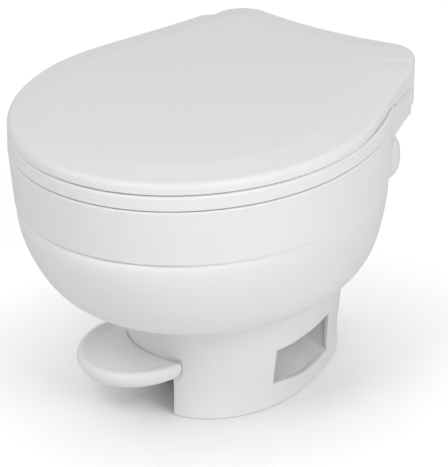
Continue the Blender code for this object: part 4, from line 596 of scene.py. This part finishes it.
# Bulb, pedestal and foot in one moulding
base = {
    "wall": 0.0035,
    "bandWall": 0.0045,
    "spigot": 0.0127,
    "topInset": 0.0040,
    "bulbDepth": 0.1186,
    "dropPower": 1.667,
    "reachPower": 0.53,
    "lastShare": 0.89,
    "bulbSteps": 8,
    "tuckShares": (1.0, 0.45, 0.12),
    "neckHalfWidth": 0.0860,
    "neckFrontReach": 0.1250,
    "neckRearInset": 0.0059,
    "sideInset": 0.0059,
    "frontInset": 0.0032,
    "rearInset": 0.0049,
    "setforward": 0.0125,
    "flareReaches": (0.22, 0.12, 0.05, 0.0),
    "flareHeights": (0.96, 0.90, 0.80, 0.62),
    "straightHeight": 0.0300,
    "floorRound": 0.0009,
    "beadWidth": 0.0120,
    "beadHeight": 0.0090,
    "ledgeTop": 0.0262,
    "ledgeRise": 0.0110,
    "ledgeRows": ((0.5, 0.5), (0.95, 0.07)),  # nearness to the wall, share of the rise
    "ledgeThickness": 0.0060,
    "openRings": 6,  # rings of the inner skin left out at the ledge
    "outletRadius": 0.0343,
    "windowSetback": 0.0736,
    "windowLength": 0.1060,
    "windowLean": 0.0060,
    "windowTop": 0.0672,
    "windowDepth": 0.0180,
    "sillTop": 0.0266,
    "sillDrop": 0.0080,
    "sillRun": 0.0600,
    "sillSteps": 16,
    "sillSlope": 0.32,
    "pocketWall": 0.0030,
    "pocketReach": 0.0330,
    "pocketSetback": 0.0004,
    "serviceCorner": 0.0018,
    "notchEdge": -0.0010,
    "notchDepth": 0.0560,
    "notchTop": 0.0605,
    "recessBottom": 0.0430,
    "recessTop": 0.0679,
    "recessGap": 0.0007,
    "hoodGap": 0.0009,
    "hoodLevels": (0.0690, 0.0610, 0.0520),
    "hoodFullTurn": 30,  # degrees from the pedal's line
    "hoodEndTurn": 65,
    "inletX": -0.0450,
    "inletZ": 0.1650,
    "inletRadius": 0.0108,
    "insideY": 0.1550,
    "serviceHalfLength": 0.0600,
    "serviceHeight": 0.0250,
}
neckFront = outletY - base["neckFrontReach"]
neckRear = plan["rearY"] - base["neckRearInset"]
footWidest = outletY - base["setforward"]
footFront = neckFront + base["frontInset"]
footRear = neckRear - base["rearInset"]
footHalf = base["neckHalfWidth"] - base["sideInset"]


def footRing(inset, z):
    return eggRing(footHalf - inset, footFront + inset, footRear - inset, footWidest, z)


def towardsPedal(ring):
    # The wall follows the pedal's rear arc, and comes back to the plain oval further round
    away = Matrix.Rotation(mechanismTurn, 3, "Z") @ Vector((0, -1, 0))
    centre = Vector((0, outletY, 0)) + away * (pedal["innerReach"] - pedal["innerArc"])
    reach = pedal["innerArc"] - base["hoodGap"]
    moved = []
    for point in ring:
        way = Vector((point.x - centre.x, point.y - centre.y, 0))
        turn = math.degrees(math.atan2(away.x * way.y - away.y * way.x, away.dot(way)))
        share = easeIn(base["hoodEndTurn"] - abs(turn), 0, base["hoodEndTurn"] - base["hoodFullTurn"])
        moved.append(point + way.normalized() * max(reach - way.length, 0) * share)
    return moved


def bulbSkin(grow):
    rim = rimRing(base["topInset"] - grow, 0)
    tuck = bandFootRing(base["bandWall"] + plan["clearance"] - grow, 0)
    neck = eggRing(base["neckHalfWidth"] + grow, neckFront - grow, neckRear + grow, footWidest, 0)
    topZ = bowlBandBottom
    rings = [atHeight(tuck, topZ + base["spigot"] - plan["clearance"])]
    for k in range(base["bulbSteps"] + 1):
        turn = math.pi / 2 * base["lastShare"] * k / base["bulbSteps"]
        z = topZ - base["bulbDepth"] * math.sin(turn) ** base["dropPower"]
        tucked = base["tuckShares"][k] if k < len(base["tuckShares"]) else 0
        rings.append(mixRings(mixRings(tuck, rim, tucked, 0), neck, math.cos(turn) ** base["reachPower"], z))
    underZ = topZ - base["bulbDepth"]
    for reach, height in zip(base["flareReaches"], base["flareHeights"]):
        rings.append(towardsPedal(mixRings(rim, neck, reach, underZ * height)))
    foot = footRing(-grow, 0)
    neckZ, footZ = underZ * base["flareHeights"][-1], base["straightHeight"]
    for height in base["hoodLevels"]:
        rings.append(towardsPedal(mixRings(neck, foot, (height - footZ) / (neckZ - footZ), height)))
    rings.append(footRing(-grow, footZ))
    rings.append(footRing(-grow, base["floorRound"]))
    return smoothRings(rings, 4, corners=(1,))


def sillFall(y):
    return base["sillDrop"] * easeIn(y, footFront + base["windowSetback"], base["sillRun"])


def sunkRing(ring, z, share):
    # The ledge follows the sill of the windows, less and less towards the outlet
    return [Vector((p.x, p.y, z - share * sillFall(p.y))) for p in ring]


def windowTool(side):
    # The sill falls towards the rear and slopes outwards, in line with the ledge behind it
    startY, steps = footFront + base["windowSetback"], base["sillSteps"]
    endY = startY + base["windowLength"]
    sillY = [startY + (endY + base["windowLean"] - startY) * i / steps for i in range(steps + 1)]
    wallLine = [(x, y) for y, x in sorted((p.y, p.x) for p in footRing(0, 0) if p.x > 0)]
    rings = []
    for x in (footHalf - base["windowDepth"], footHalf + plan["overrun"]):
        ring = [(y, base["sillTop"] - sillFall(y) + base["sillSlope"] * (sideReach(wallLine, y) - x)) for y in sillY]
        ring += [(endY, base["windowTop"]), (startY, base["windowTop"])]
        rings.append([Vector((side * x, y, z)) for y, z in ring])
    return loftPiece("windowTool", rings)


def pocketWall(side):
    # Closes the space behind the window at its rear end
    startY = footFront + base["windowSetback"] + base["windowLength"] + base["windowLean"] + base["pocketSetback"]
    lowX, highX = sorted((side * base["pocketReach"], side * (footHalf - base["windowDepth"] / 2)))
    return boxTool((lowX, startY, base["ledgeTop"] - base["sillDrop"] - base["wall"] / 2),
                   (highX, startY + base["pocketWall"], base["windowTop"] + base["ledgeThickness"]))


def buildBase():
    skin = bulbSkin(0)
    wall, foot = base["wall"], base["floorRound"]
    inside = thickenRings(skin, -wall)[:-base["openRings"]]
    skin += [footRing(foot * plan["cornerShare"], foot * plan["cornerShare"]), footRing(foot, 0)]
    wallRing, beadRing = footRing(wall, 0), footRing(base["beadWidth"], 0)
    outlet = outletRing(base["outletRadius"], 0)
    ledgeZ, thick = base["ledgeTop"], base["ledgeThickness"]
    ledge = [beadRing, atHeight(beadRing, base["beadHeight"]), atHeight(wallRing, base["beadHeight"]),
             sunkRing(wallRing, ledgeZ - thick, 1), atHeight(outlet, ledgeZ + base["ledgeRise"] - thick),
             atHeight(outlet, ledgeZ + base["ledgeRise"]),
             *[sunkRing(mixRings(wallRing, outlet, near, 0), ledgeZ + base["ledgeRise"] * rise, near)
               for near, rise in base["ledgeRows"]],
             sunkRing(wallRing, ledgeZ + wall / 2, 1)]
    piece = loftPiece("baseMoulding", skin + ledge + list(reversed(inside)), closed=True)
    over = plan["overrun"]
    notch = boxTool((-footHalf - over, footFront - over, -over),
                    (base["notchEdge"], footFront + base["notchDepth"], base["notchTop"]))
    place = Matrix.Translation((0, outletY, 0)) @ Matrix.Rotation(mechanismTurn, 4, "Z")
    recess = loftPiece("pedalRecess", [[Vector((x, y, z)) for x, y in pedalOutline(-base["recessGap"])]
                                       for z in (base["recessBottom"], base["recessTop"])], place=place)
    inlet = rodTool((base["inletX"], coverHigh.y + over, base["inletZ"]),
                    (base["inletX"], base["insideY"], base["inletZ"]), base["inletRadius"])
    serviceZ = (coverLow.z + coverHigh.z) / 2
    service = slabTool(roundedSide(base["insideY"], coverHigh.y + over, serviceZ - base["serviceHeight"] / 2,
                                   serviceZ + base["serviceHeight"] / 2, base["serviceCorner"]),
                       -base["serviceHalfLength"], base["serviceHalfLength"])
    shapeWith(piece, [pocketWall(side) for side in (-1, 1)], "UNION")
    shapeWith(piece, [windowTool(side) for side in (-1, 1)])
    shapeWith(piece, [notch, recess, inlet, service])
    standFor(piece, "base_shell", "toilet", paints["shellWhite"])


# Rim band, rim top and inner bowl
bowl = {
    "bandWall": 0.0045,
    "bandStep": 0.0040,
    "edgeRound": 0.0020,
    "footRound": 0.0010,
    "wall": 0.0035,
    "rimWidth": 0.0675,
    "openingFront": -0.1950,
    "openingRear": 0.0750,
    "openingSetforward": 0.0245,
    "openingRound": 0.0040,
    "throatRadius": 0.0280,
    "throatLength": 0.0067,
    "flangeThickness": 0.0040,
    "reachShares": (1.0, 0.97, 0.89, 0.76, 0.58, 0.36, 0.14, 0.0),
    "heightShares": (1.0, 0.84, 0.62, 0.43, 0.26, 0.125, 0.035, 0.0),
    "plainRings": 4,  # rings of the outer skin left out at either end
    "flangeRadius": 0.0580,
    "bossRadius": 0.0100,
    "bossDepth": 0.0230,
    "screwRadius": 0.0025,
    "nozzleDrop": 0.0300,
    "nozzleRadius": 0.0078,
}
openingWidest = plan["widestY"] - bowl["openingSetforward"]
deckScrews = [sum(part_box(name), Vector()) / 2 for name in ("deck_screw_left", "deck_screw_right")]


def openingRing(grow, z):
    return eggRing(bowlHigh.x - bowl["rimWidth"] + grow, bowl["openingFront"] - grow, bowl["openingRear"] + grow,
                   openingWidest, z)


def buildBowl():
    top, low = bowlHigh.z, bowlBandBottom
    throatLow = bowlLow.z
    throatTop = throatLow + bowl["throatLength"]
    throat = outletRing(bowl["throatRadius"], 0)
    opening = openingRing(0, 0)
    depth = top - bowl["openingRound"] - throatTop
    inside = smoothRings([mixRings(opening, throat, reach, throatTop + depth * height)
                          for reach, height in zip(bowl["reachShares"], bowl["heightShares"])], 5)
    outside = thickenRings(inside, bowl["wall"])
    flange = outletRing(bowl["flangeRadius"], 0)
    flangeTop = throatLow + bowl["flangeThickness"]
    neck = outletRing(bowl["throatRadius"] + bowl["wall"], flangeTop)
    shoulder = low + base["spigot"]
    under = top - bowl["wall"]
    rimEdge, footEdge = bowl["edgeRound"], bowl["footRound"]
    openingEdge = [openingRing(bowl["openingRound"] * (1 - out), top - bowl["openingRound"] * (1 - fall))
                   for out, fall in quarterTurn(6)[:-1]]
    footMiddle = footEdge * plan["cornerShare"]
    rings = [bandFootRing(footEdge, low), bandFootRing(footMiddle, low + footMiddle),
             bandFootRing(0, low + footEdge), rimRing(0, top - rimEdge),
             *[rimRing(rimEdge * (1 - out), top - rimEdge * (1 - rise)) for rise, out in quarterTurn(4, 1)],
             *openingEdge, *inside,
             atHeight(throat, throatLow), atHeight(flange, throatLow), atHeight(flange, flangeTop), neck,
             *reversed(outside[bowl["plainRings"]:-bowl["plainRings"]]),
             openingRing(bowl["wall"], under - bowl["openingRound"]),
             openingRing(bowl["openingRound"] + bowl["wall"], under),
             rimRing(bowl["bandWall"] + bowl["bandStep"], under),
             bandFootRing(bowl["bandWall"] + bowl["bandStep"], shoulder),
             bandFootRing(bowl["bandWall"], shoulder), bandFootRing(bowl["bandWall"], low)]
    piece = loftPiece("bowlMoulding", rings, closed=True)
    gap, over = plan["clearance"], plan["overrun"]
    shapeWith(piece, [boxTool((-bowlHigh.x - over, deckLow.y - gap, deckLow.z - gap),
                              (bowlHigh.x + over, plan["rearY"] + over, top + over))])
    bossTop = deckLow.z - gap
    bossLow = bossTop - bowl["bossDepth"]
    shapeWith(piece, [postTool(place, bossLow, bossTop, bowl["bossRadius"]) for place in deckScrews], "UNION")
    nozzleZ = top - bowl["nozzleDrop"]
    holes = [postTool(place, bossLow - over, bossTop + over, bowl["screwRadius"], plan["screwSides"])
             for place in deckScrews]
    holes.append(rodTool((0, bowl["openingRear"] - over, nozzleZ), (0, bowl["openingRear"] + over, nozzleZ),
                         bowl["nozzleRadius"]))
    for number in range(1, 5):
        place = sum(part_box(f"valve_screw_{number}"), Vector()) / 2
        holes.append(postTool(place, throatLow - over / 2, flangeTop + gap, bowl["screwRadius"], plan["screwSides"]))
    shapeWith(piece, holes)
    standFor(piece, "bowl", "toilet", paints["shellWhite"])


# Seat ring with its two arms
seat = {
    "holeOverlap": 0.0130,
    "holeFront": -0.1850,
    "rearWidth": 0.0353,
    "footRound": 0.0008,
    "edgeRound": 0.0038,
    "innerRound": 0.0060,
    "innerDrop": 0.0025,
    "dropShares": ((0.75, 0.05), (0.5, 0.25), (0.3, 0.6)),  # share of the width, share of the drop
    "wall": 0.0032,
    "armX": 0.0780,
    "armWidth": 0.0120,
    "armRadius": 0.0058,
    "armSteps": 24,
    "pinRadius": 0.0028,
}


def seatOutline():
    ring = rimRing(0, 0)
    rearReach = plan["rearY"] - plan["widestY"]
    cornerX = bowlHigh.x * math.sqrt(1 - ((seatEdgeY - plan["widestY"]) / rearReach) ** 2)
    beyond = [i for i, point in enumerate(ring) if point.y > seatEdgeY]
    for place, i in enumerate(beyond):
        ring[i] = Vector((cornerX * (1 - 2 * place / (len(beyond) - 1)), seatEdgeY, 0))
    return ring


def buildSeat():
    outer = seatOutline()
    hole = eggRing(bowlHigh.x - bowl["rimWidth"] - seat["holeOverlap"], seat["holeFront"],
                   seatEdgeY - seat["rearWidth"], openingWidest, 0)
    low, top, wall = seatLow.z, seatHigh.z, seat["wall"]
    innerTop = top - seat["innerDrop"]
    under = innerTop - wall
    edge, inner, foot = seat["edgeRound"], seat["innerRound"], seat["footRound"]
    rings = [shiftRing(outer, hole, foot, low), atHeight(outer, low + foot), atHeight(outer, top - edge)]
    rings += roundEdge(outer, hole, top - edge, top, edge, 6)
    rings += [mixRings(outer, hole, share, top - seat["innerDrop"] * drop) for share, drop in seat["dropShares"]]
    rings += [shiftRing(hole, outer, inner * (1 - out), innerTop - inner * (1 - fall))
              for out, fall in quarterTurn(7)]
    rings += [atHeight(hole, low), shiftRing(hole, outer, wall, low), shiftRing(hole, outer, wall, under - inner / 2),
              shiftRing(hole, outer, inner + wall / 2, under), shiftRing(outer, hole, edge + wall / 2, under),
              shiftRing(outer, hole, wall, under - edge / 2), shiftRing(outer, hole, wall, low)]
    piece = loftPiece("seatMoulding", rings, closed=True)
    rootY = seatEdgeY - seat["rearWidth"] / 2
    gap, over, radius = plan["clearance"], plan["overrun"] / 2, seat["armRadius"]
    arms = []
    for side in (-1, 1):
        lowX = side * seat["armX"] - seat["armWidth"] / 2
        turns = [math.pi * (i / seat["armSteps"] - 1 / 2) for i in range(seat["armSteps"] + 1)]
        outline = [(rootY, seatPivot.z - radius)]
        outline += [(seatPivot.y + radius * math.cos(turn), seatPivot.z + radius * math.sin(turn)) for turn in turns]
        outline.append((rootY, seatPivot.z + radius))
        highX = lowX + seat["armWidth"]
        arm = slabTool(outline, lowX, highX)
        shapeWith(arm, [pinTool(lowX - over, highX + over, seat["pinRadius"], plan["boreSides"])])
        arms.append(arm)
    shapeWith(piece, arms, "UNION")
    pads = [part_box(f"seat_bumper_{number}") for number in range(1, 5)]
    shapeWith(piece, [boxTool((a.x - wall, a.y - wall, low), (b.x + wall, b.y + wall, under + wall / 2))
                      for a, b in pads], "UNION")
    shapeWith(piece, [boxTool((a.x - gap, a.y - gap, low - over), (b.x + gap, b.y + gap, b.z + gap))
                      for a, b in pads])
    standFor(piece, "seat", "seat", paints["shellWhite"])


# Lid
lid = {
    "overhang": 0.0086,
    "waistInset": 0.0527,
    "waistSetback": 0.0379,
    "earInset": 0.0630,
    "cornerRadius": 0.0340,
    "dipFrontY": 0.1055,  # behind here the side comes further down, over the deck
    "dipRun": 0.0200,
    "dip": 0.0070,
    "earRun": 0.0600,
    "earDip": 0.0050,
    "dipEndX": 0.1040,
    "dipEndRun": 0.0050,
    "dipGap": 0.0012,
    "sideGap": 0.0008,
    "rearSag": 0.0085,
    "frontHandle": 0.5523,
    "sideHandle": 0.28,
    "waistHandle": 0.45,
    "wall": 0.0032,
    "sideHeight": 0.0054,
    "edgeRound": 0.0072,
    "lowerRound": 0.0009,
    "borderWidth": 0.0380,
    "borderRise": 0.0054,
    "blend": 0.0070,
    "crown": 0.0021,
    "knuckleStart": 0.0913,
    "knuckleWidth": 0.0095,
    "boreReach": 0.0040,
    "outlineSteps": (40, 26, 8, 16, 16),  # front, side, waist, corner, rear
    "crownShares": (0.02, 0.2, 0.4, 0.6, 0.8),
    "borderShares": ((0, 0.06), (0.3, 0.33), (0.7, 0.73), (1, 1)),  # shares of the border's width and rise
}


def bezierPoints(p0, p1, p2, p3, count):
    points = []
    for i in range(count):
        t = i / count
        s = 1 - t
        points.append(tuple(s ** 3 * a + 3 * s * s * t * b + 3 * s * t * t * c + t ** 3 * d
                            for a, b, c, d in zip(p0, p1, p2, p3)))
    return points


def lidHalfOutline():
    half, widest, frontY = bowlHigh.x, plan["widestY"], bowlLow.y
    waistX, waistY = half - lid["waistInset"], plan["rearY"] - lid["waistSetback"]
    earX, rearY, radius = half - lid["earInset"], plan["rearY"] + lid["overhang"], lid["cornerRadius"]
    sideRun, earY, rearX = waistY - widest, rearY - radius, earX - radius
    frontSteps, sideSteps, waistSteps, cornerSteps, rearSteps = lid["outlineSteps"]
    points = bezierPoints((0, frontY), (half * lid["frontHandle"], frontY),
                          (half, widest - (widest - frontY) * lid["frontHandle"]), (half, widest), frontSteps)
    points += bezierPoints((half, widest), (half, widest + sideRun * lid["sideHandle"]),
                           (waistX + (half - waistX) * lid["waistHandle"], waistY - sideRun * lid["waistHandle"]),
                           (waistX, waistY), sideSteps)
    points += bezierPoints((waistX, waistY), (earX + (waistX - earX) / 3, waistY + (earY - waistY) / 3),
                           (earX, earY - (earY - waistY) / 3), (earX, earY), waistSteps)
    points += [(rearX + radius * across, earY + radius * back) for back, across in quarterTurn(cornerSteps)[:-1]]
    for i in range(rearSteps + 1):
        left = 1 - i / rearSteps
        points.append((rearX * left, rearY - lid["rearSag"] * (1 - left ** 2)))
    return points


def lidRing(inset, z, scale=1.0):
    half = lidHalfOutline()
    ring = []
    for x, y in half + [(-x, y) for x, y in reversed(half[1:-1])]:
        keep = (1 - inset / math.hypot(x, y)) * scale
        ring.append(Vector((x * keep, y * keep, z)))
    return ring


def lidDip(x, y):
    depth = lid["dip"] * easeIn(y, lid["dipFrontY"], lid["dipRun"])
    depth += lid["earDip"] * easeIn(y, lid["dipFrontY"] + lid["dipRun"], lid["earRun"])
    return depth * easeIn(abs(x), lid["dipEndX"], lid["dipEndRun"])


def dippedRing(ring):
    return [Vector((p.x, p.y, p.z - lidDip(p.x, p.y))) for p in ring]


def buildLid():
    low, wall, edge = lidBottom, lid["wall"], lid["edgeRound"]
    edgeZ = low + lid["sideHeight"]
    borderZ = edgeZ + edge
    plateauZ = borderZ + lid["borderRise"]
    plateauInset = lid["borderWidth"] + lid["blend"]
    top = [lidRing(plateauInset, plateauZ + lid["crown"] * (1 - share * share), share)
           for share in lid["crownShares"]]
    borderRun = lid["borderWidth"] - edge
    border = [lidRing(lid["borderWidth"] - borderRun * share, plateauZ - lid["borderRise"] * drop)
              for share, drop in lid["borderShares"]]
    top += smoothRings([lidRing(plateauInset, plateauZ)] + border, 4)[:-1]
    top += [lidRing(edge * (1 - out), edgeZ + edge * rise) for out, rise in quarterTurn(8)]
    inner = thickenRings(top, -wall)
    foot = lid["lowerRound"]
    middle = foot * plan["cornerShare"]
    lowest = [lidRing(0, low + foot), lidRing(middle, low + middle), lidRing(foot, low), atHeight(inner[-1], low)]
    rings = top + [dippedRing(ring) for ring in lowest] + list(reversed(inner))
    piece = loftPiece("lidMoulding", rings)
    radius, gap = seat["armRadius"], plan["clearance"]
    knuckles, bores = [], []
    for side in (-1, 1):
        lowX, highX = sorted((side * lid["knuckleStart"], side * (lid["knuckleStart"] + lid["knuckleWidth"])))
        knuckles.append(pinTool(lowX, highX, radius, plan["eyeSides"]))
        knuckles.append(boxTool((lowX + gap, seatPivot.y - radius + gap, seatPivot.z),
                                (highX - gap, seatPivot.y, edgeZ)))
        bores.append(pinTool(lowX - lid["boreReach"], highX + lid["boreReach"], seat["pinRadius"],
                             plan["boreSides"]))
    shapeWith(piece, knuckles, "UNION")
    shapeWith(piece, bores)
    standFor(piece, "lid", "lid", paints["lidWhite"])


# Hinge deck behind the seat
deck = {
    "inset": 0.0008,
    "sideSteps": 24,
    "cornerRadius": 0.0250,
    "edgeRound": 0.0020,
    "wall": 0.0034,
    "lugWidth": 0.0065,
    "sideGap": 0.0004,
    "postRadius": 0.0100,
    "screwHead": 0.0029,
    "screwHeadRadius": 0.0045,
}


def buildDeck():
    outline = lidHalfOutline()
    earY = plan["rearY"] + lid["overhang"] - lid["cornerRadius"]
    rearY, frontY, radius = deckRear, deckLow.y, deck["cornerRadius"]
    lastY = rearY - radius
    sideY = [frontY + (lastY - frontY) * i / deck["sideSteps"] for i in range(deck["sideSteps"] + 1)]
    half = [(sideReach(outline, min(y, earY)) - deck["inset"], y) for y in sideY]
    cornerX = half[-1][0] - radius
    half += [(cornerX + radius * across, lastY + radius * back) for back, across in quarterTurn(16, 1)]
    middle = Vector((0, (frontY + rearY) / 2, 0))
    flat = [Vector((x, y, 0)) for x, y in half + [(-x, y) for x, y in reversed(half)]]
    centre = [middle] * len(flat)
    low, top, edge, wall = deckLow.z, deckTop, deck["edgeRound"], deck["wall"]
    rings = [shiftRing(flat, centre, edge * (1 - out), low + edge * (1 - fall)) for out, fall in quarterTurn(5)]
    # The top steps in under the sides of the lid that come further down
    depths = [lidDip(p.x, p.y) for p in flat]
    stepIn = lid["wall"] + lid["sideGap"] - deck["inset"]
    inward = [shiftRing([p], [middle], stepIn * min(depth / lid["dip"], 1), 0)[0] for p, depth in zip(flat, depths)]
    edgeTop = top - edge / 2
    steps = [min(edgeTop, lidBottom - depth - lid["dipGap"]) for depth in depths]
    rings.append([Vector((p.x, p.y, z)) for p, z in zip(flat, steps)])
    rings.append([Vector((p.x, p.y, z + edge / 8)) for p, z in zip(inward, steps)])
    rings.append(atHeight(inward, edgeTop + edge / 4))
    rings += roundEdge(inward, centre, edgeTop + edge / 4, top, edge / 2, 4)
    piece = loftPiece("deckMoulding", rings)
    over, gap, radius = plan["overrun"], plan["clearance"], seat["armRadius"]
    levels = [(flat, [low - over] * len(flat)), (flat, [z - wall for z in steps]),
              (inward, [top - wall] * len(flat))]
    keepX, keepY = 1 - wall / flat[0].x, 1 - wall / (rearY - middle.y)
    hollow = loftPiece("deckHollow", [[Vector((p.x * keepX, middle.y + (p.y - middle.y) * keepY, z))
                                       for p, z in zip(ring, heights)] for ring, heights in levels])
    shapeWith(piece, [hollow])
    armHalf = seat["armWidth"] / 2 + deck["sideGap"]
    eyeLow, eyeHigh = seatPivot.z - radius, seatPivot.z + radius
    added, taken = [], []
    for side, screw in zip((-1, 1), deckScrews):
        x = side * seat["armX"]
        added.append(boxTool((x - armHalf - wall, frontY + gap, eyeLow - deck["sideGap"] - wall),
                             (x + armHalf + wall, rearY - gap, top - wall / 2)))
        added.append(postTool(screw, low, top - wall / 2, deck["postRadius"]))
        for lugStart in (armHalf, -armHalf - deck["lugWidth"]):
            lowX = x + lugStart
            highX = lowX + deck["lugWidth"]
            added.append(boxTool((lowX + gap, rearY - wall, eyeLow + gap),
                                 (highX - gap, seatPivot.y - radius / 3, eyeHigh - gap)))
            added.append(pinTool(lowX, highX, radius, plan["eyeSides"]))
        taken.append(boxTool((x - armHalf, frontY - over, eyeLow - deck["sideGap"]),
                             (x + armHalf, seatPivot.y + over, top + over)))
        taken.append(pinTool(x - over, x + over, seat["pinRadius"], plan["boreSides"]))
        taken.append(postTool(screw, low - over, top + over, bowl["screwRadius"], plan["screwSides"]))
        taken.append(postTool(screw, top - deck["screwHead"], top + over, deck["screwHeadRadius"], plan["boreSides"]))
    shapeWith(piece, added, "UNION")
    shapeWith(piece, taken)
    standFor(piece, "hinge_deck", "toilet", paints["shellWhite"])


# Housing of the water valve, behind the bulb
cover = {
    "depth": 0.1000,
    "round": 0.0250,
    "roundSteps": 14,
    "innerSteps": 10,
    "wall": 0.0030,
}


def softBlock(name, low, high, radius, segments):
    block = boxTool(low, high)
    block.name = name
    soft = block.modifiers.new("soft", "BEVEL")
    soft.width = radius
    soft.segments = segments
    soft.limit_method = "NONE"
    settle(block)
    return block


def buildCover():
    frontY, wall = coverHigh.y - cover["depth"], cover["wall"]
    piece = softBlock("rearHousing", (coverLow.x, frontY, coverLow.z), coverHigh, cover["round"],
                      cover["roundSteps"])
    hollow = softBlock("housingHollow", (coverLow.x + wall, frontY - cover["depth"], coverLow.z + wall),
                       coverHigh - Vector((wall, wall, wall)), cover["round"] - wall, cover["innerSteps"])
    shapeWith(piece, [hollow])
    shapeWith(piece, [loftPiece("bulbSpace", bulbSkin(plan["clearance"]))])
    standFor(piece, "rear_water_cover", "toilet", paints["shellWhite"])


# Pedal
def pedalHeight(y):
    share = (-pedal["innerReach"] - y) / (pedal["centreReach"] + pedal["radius"] - pedal["innerReach"])
    return pedal["topHeight"] - pedal["frontDrop"] * max(share, 0)


def pedalRing(inset, drop, pivotReach):
    # The front edge is rounded, and the dished top runs out level at the rear arc
    outer, rear = pedalOutline(inset), pedalOutline(inset * pedal["rearEdge"])
    ring = []
    for i, ((frontX, frontY), (rearX, rearY)) in enumerate(zip(outer, rear)):
        share = easeIn(min(i - pedal["frontSteps"], len(outer) + 1 - i), 0, pedal["cornerSteps"])
        x, y = frontX + (rearX - frontX) * share, frontY + (rearY - frontY) * share
        depth = drop + (max(drop, pedal["dish"]) - drop) * share
        ring.append(Vector((x, y + pivotReach, pedalHeight(y) - depth - pedal["pivotHeight"])))
    return ring


def buildPedal():
    pivotReach = math.hypot(pedalPivot.x, pedalPivot.y - outletY)
    place = Matrix.Translation(pedalPivot) @ Matrix.Rotation(mechanismTurn, 4, "Z")
    lip, middle = pedal["lip"], pedal["lip"] * plan["cornerShare"]
    levels = [(lip * inset, pedal["dish"] * share) for inset, share in pedal["dishRows"]]
    levels += [(middle, middle), (0, lip)]
    levels += [(lip * inset, pedal["thickness"] * share) for inset, share in pedal["sideRows"]]
    rings = smoothRings([pedalRing(inset, drop, pivotReach) for inset, drop in levels], 4)
    piece = loftPiece("pedalTread", rings, place=place)
    armHalf, armX, barY = pedal["armHeight"] / 2, pedal["armX"], -pedal["barReach"]
    armRoot = pivotReach - pedal["innerReach"] - lip * 3
    added = []
    for side in (-1, 1):
        lowX = side * armX - pedal["armWidth"] / 2
        highX = lowX + pedal["armWidth"]
        added.append(boxTool((lowX, armRoot, -armHalf), (highX, 0, armHalf), place))
        added.append(rodTool((lowX, 0, 0), (highX, 0, 0), pedal["eyeRadius"], pedal["eyeSides"], place))
    added.append(boxTool((-armX, barY - pedal["barThickness"], pedal["barBottom"]),
                         (armX, barY, armHalf - plan["clearance"]), place))
    shapeWith(piece, added, "UNION")
    shapeWith(piece, [rodTool((-armX * 2, 0, 0), (armX * 2, 0, 0), pedal["boreRadius"], place=place)])
    standFor(piece, "pedal", "pedal", paints["shellWhite"])


buildBase()
print("Base moulding made")
buildBowl()
print("Bowl moulding made")
buildSeat()
buildLid()
print("Seat and lid made")
buildDeck()
buildCover()
print("Hinge deck and rear housing made")
buildPedal()
print("Pedal made")
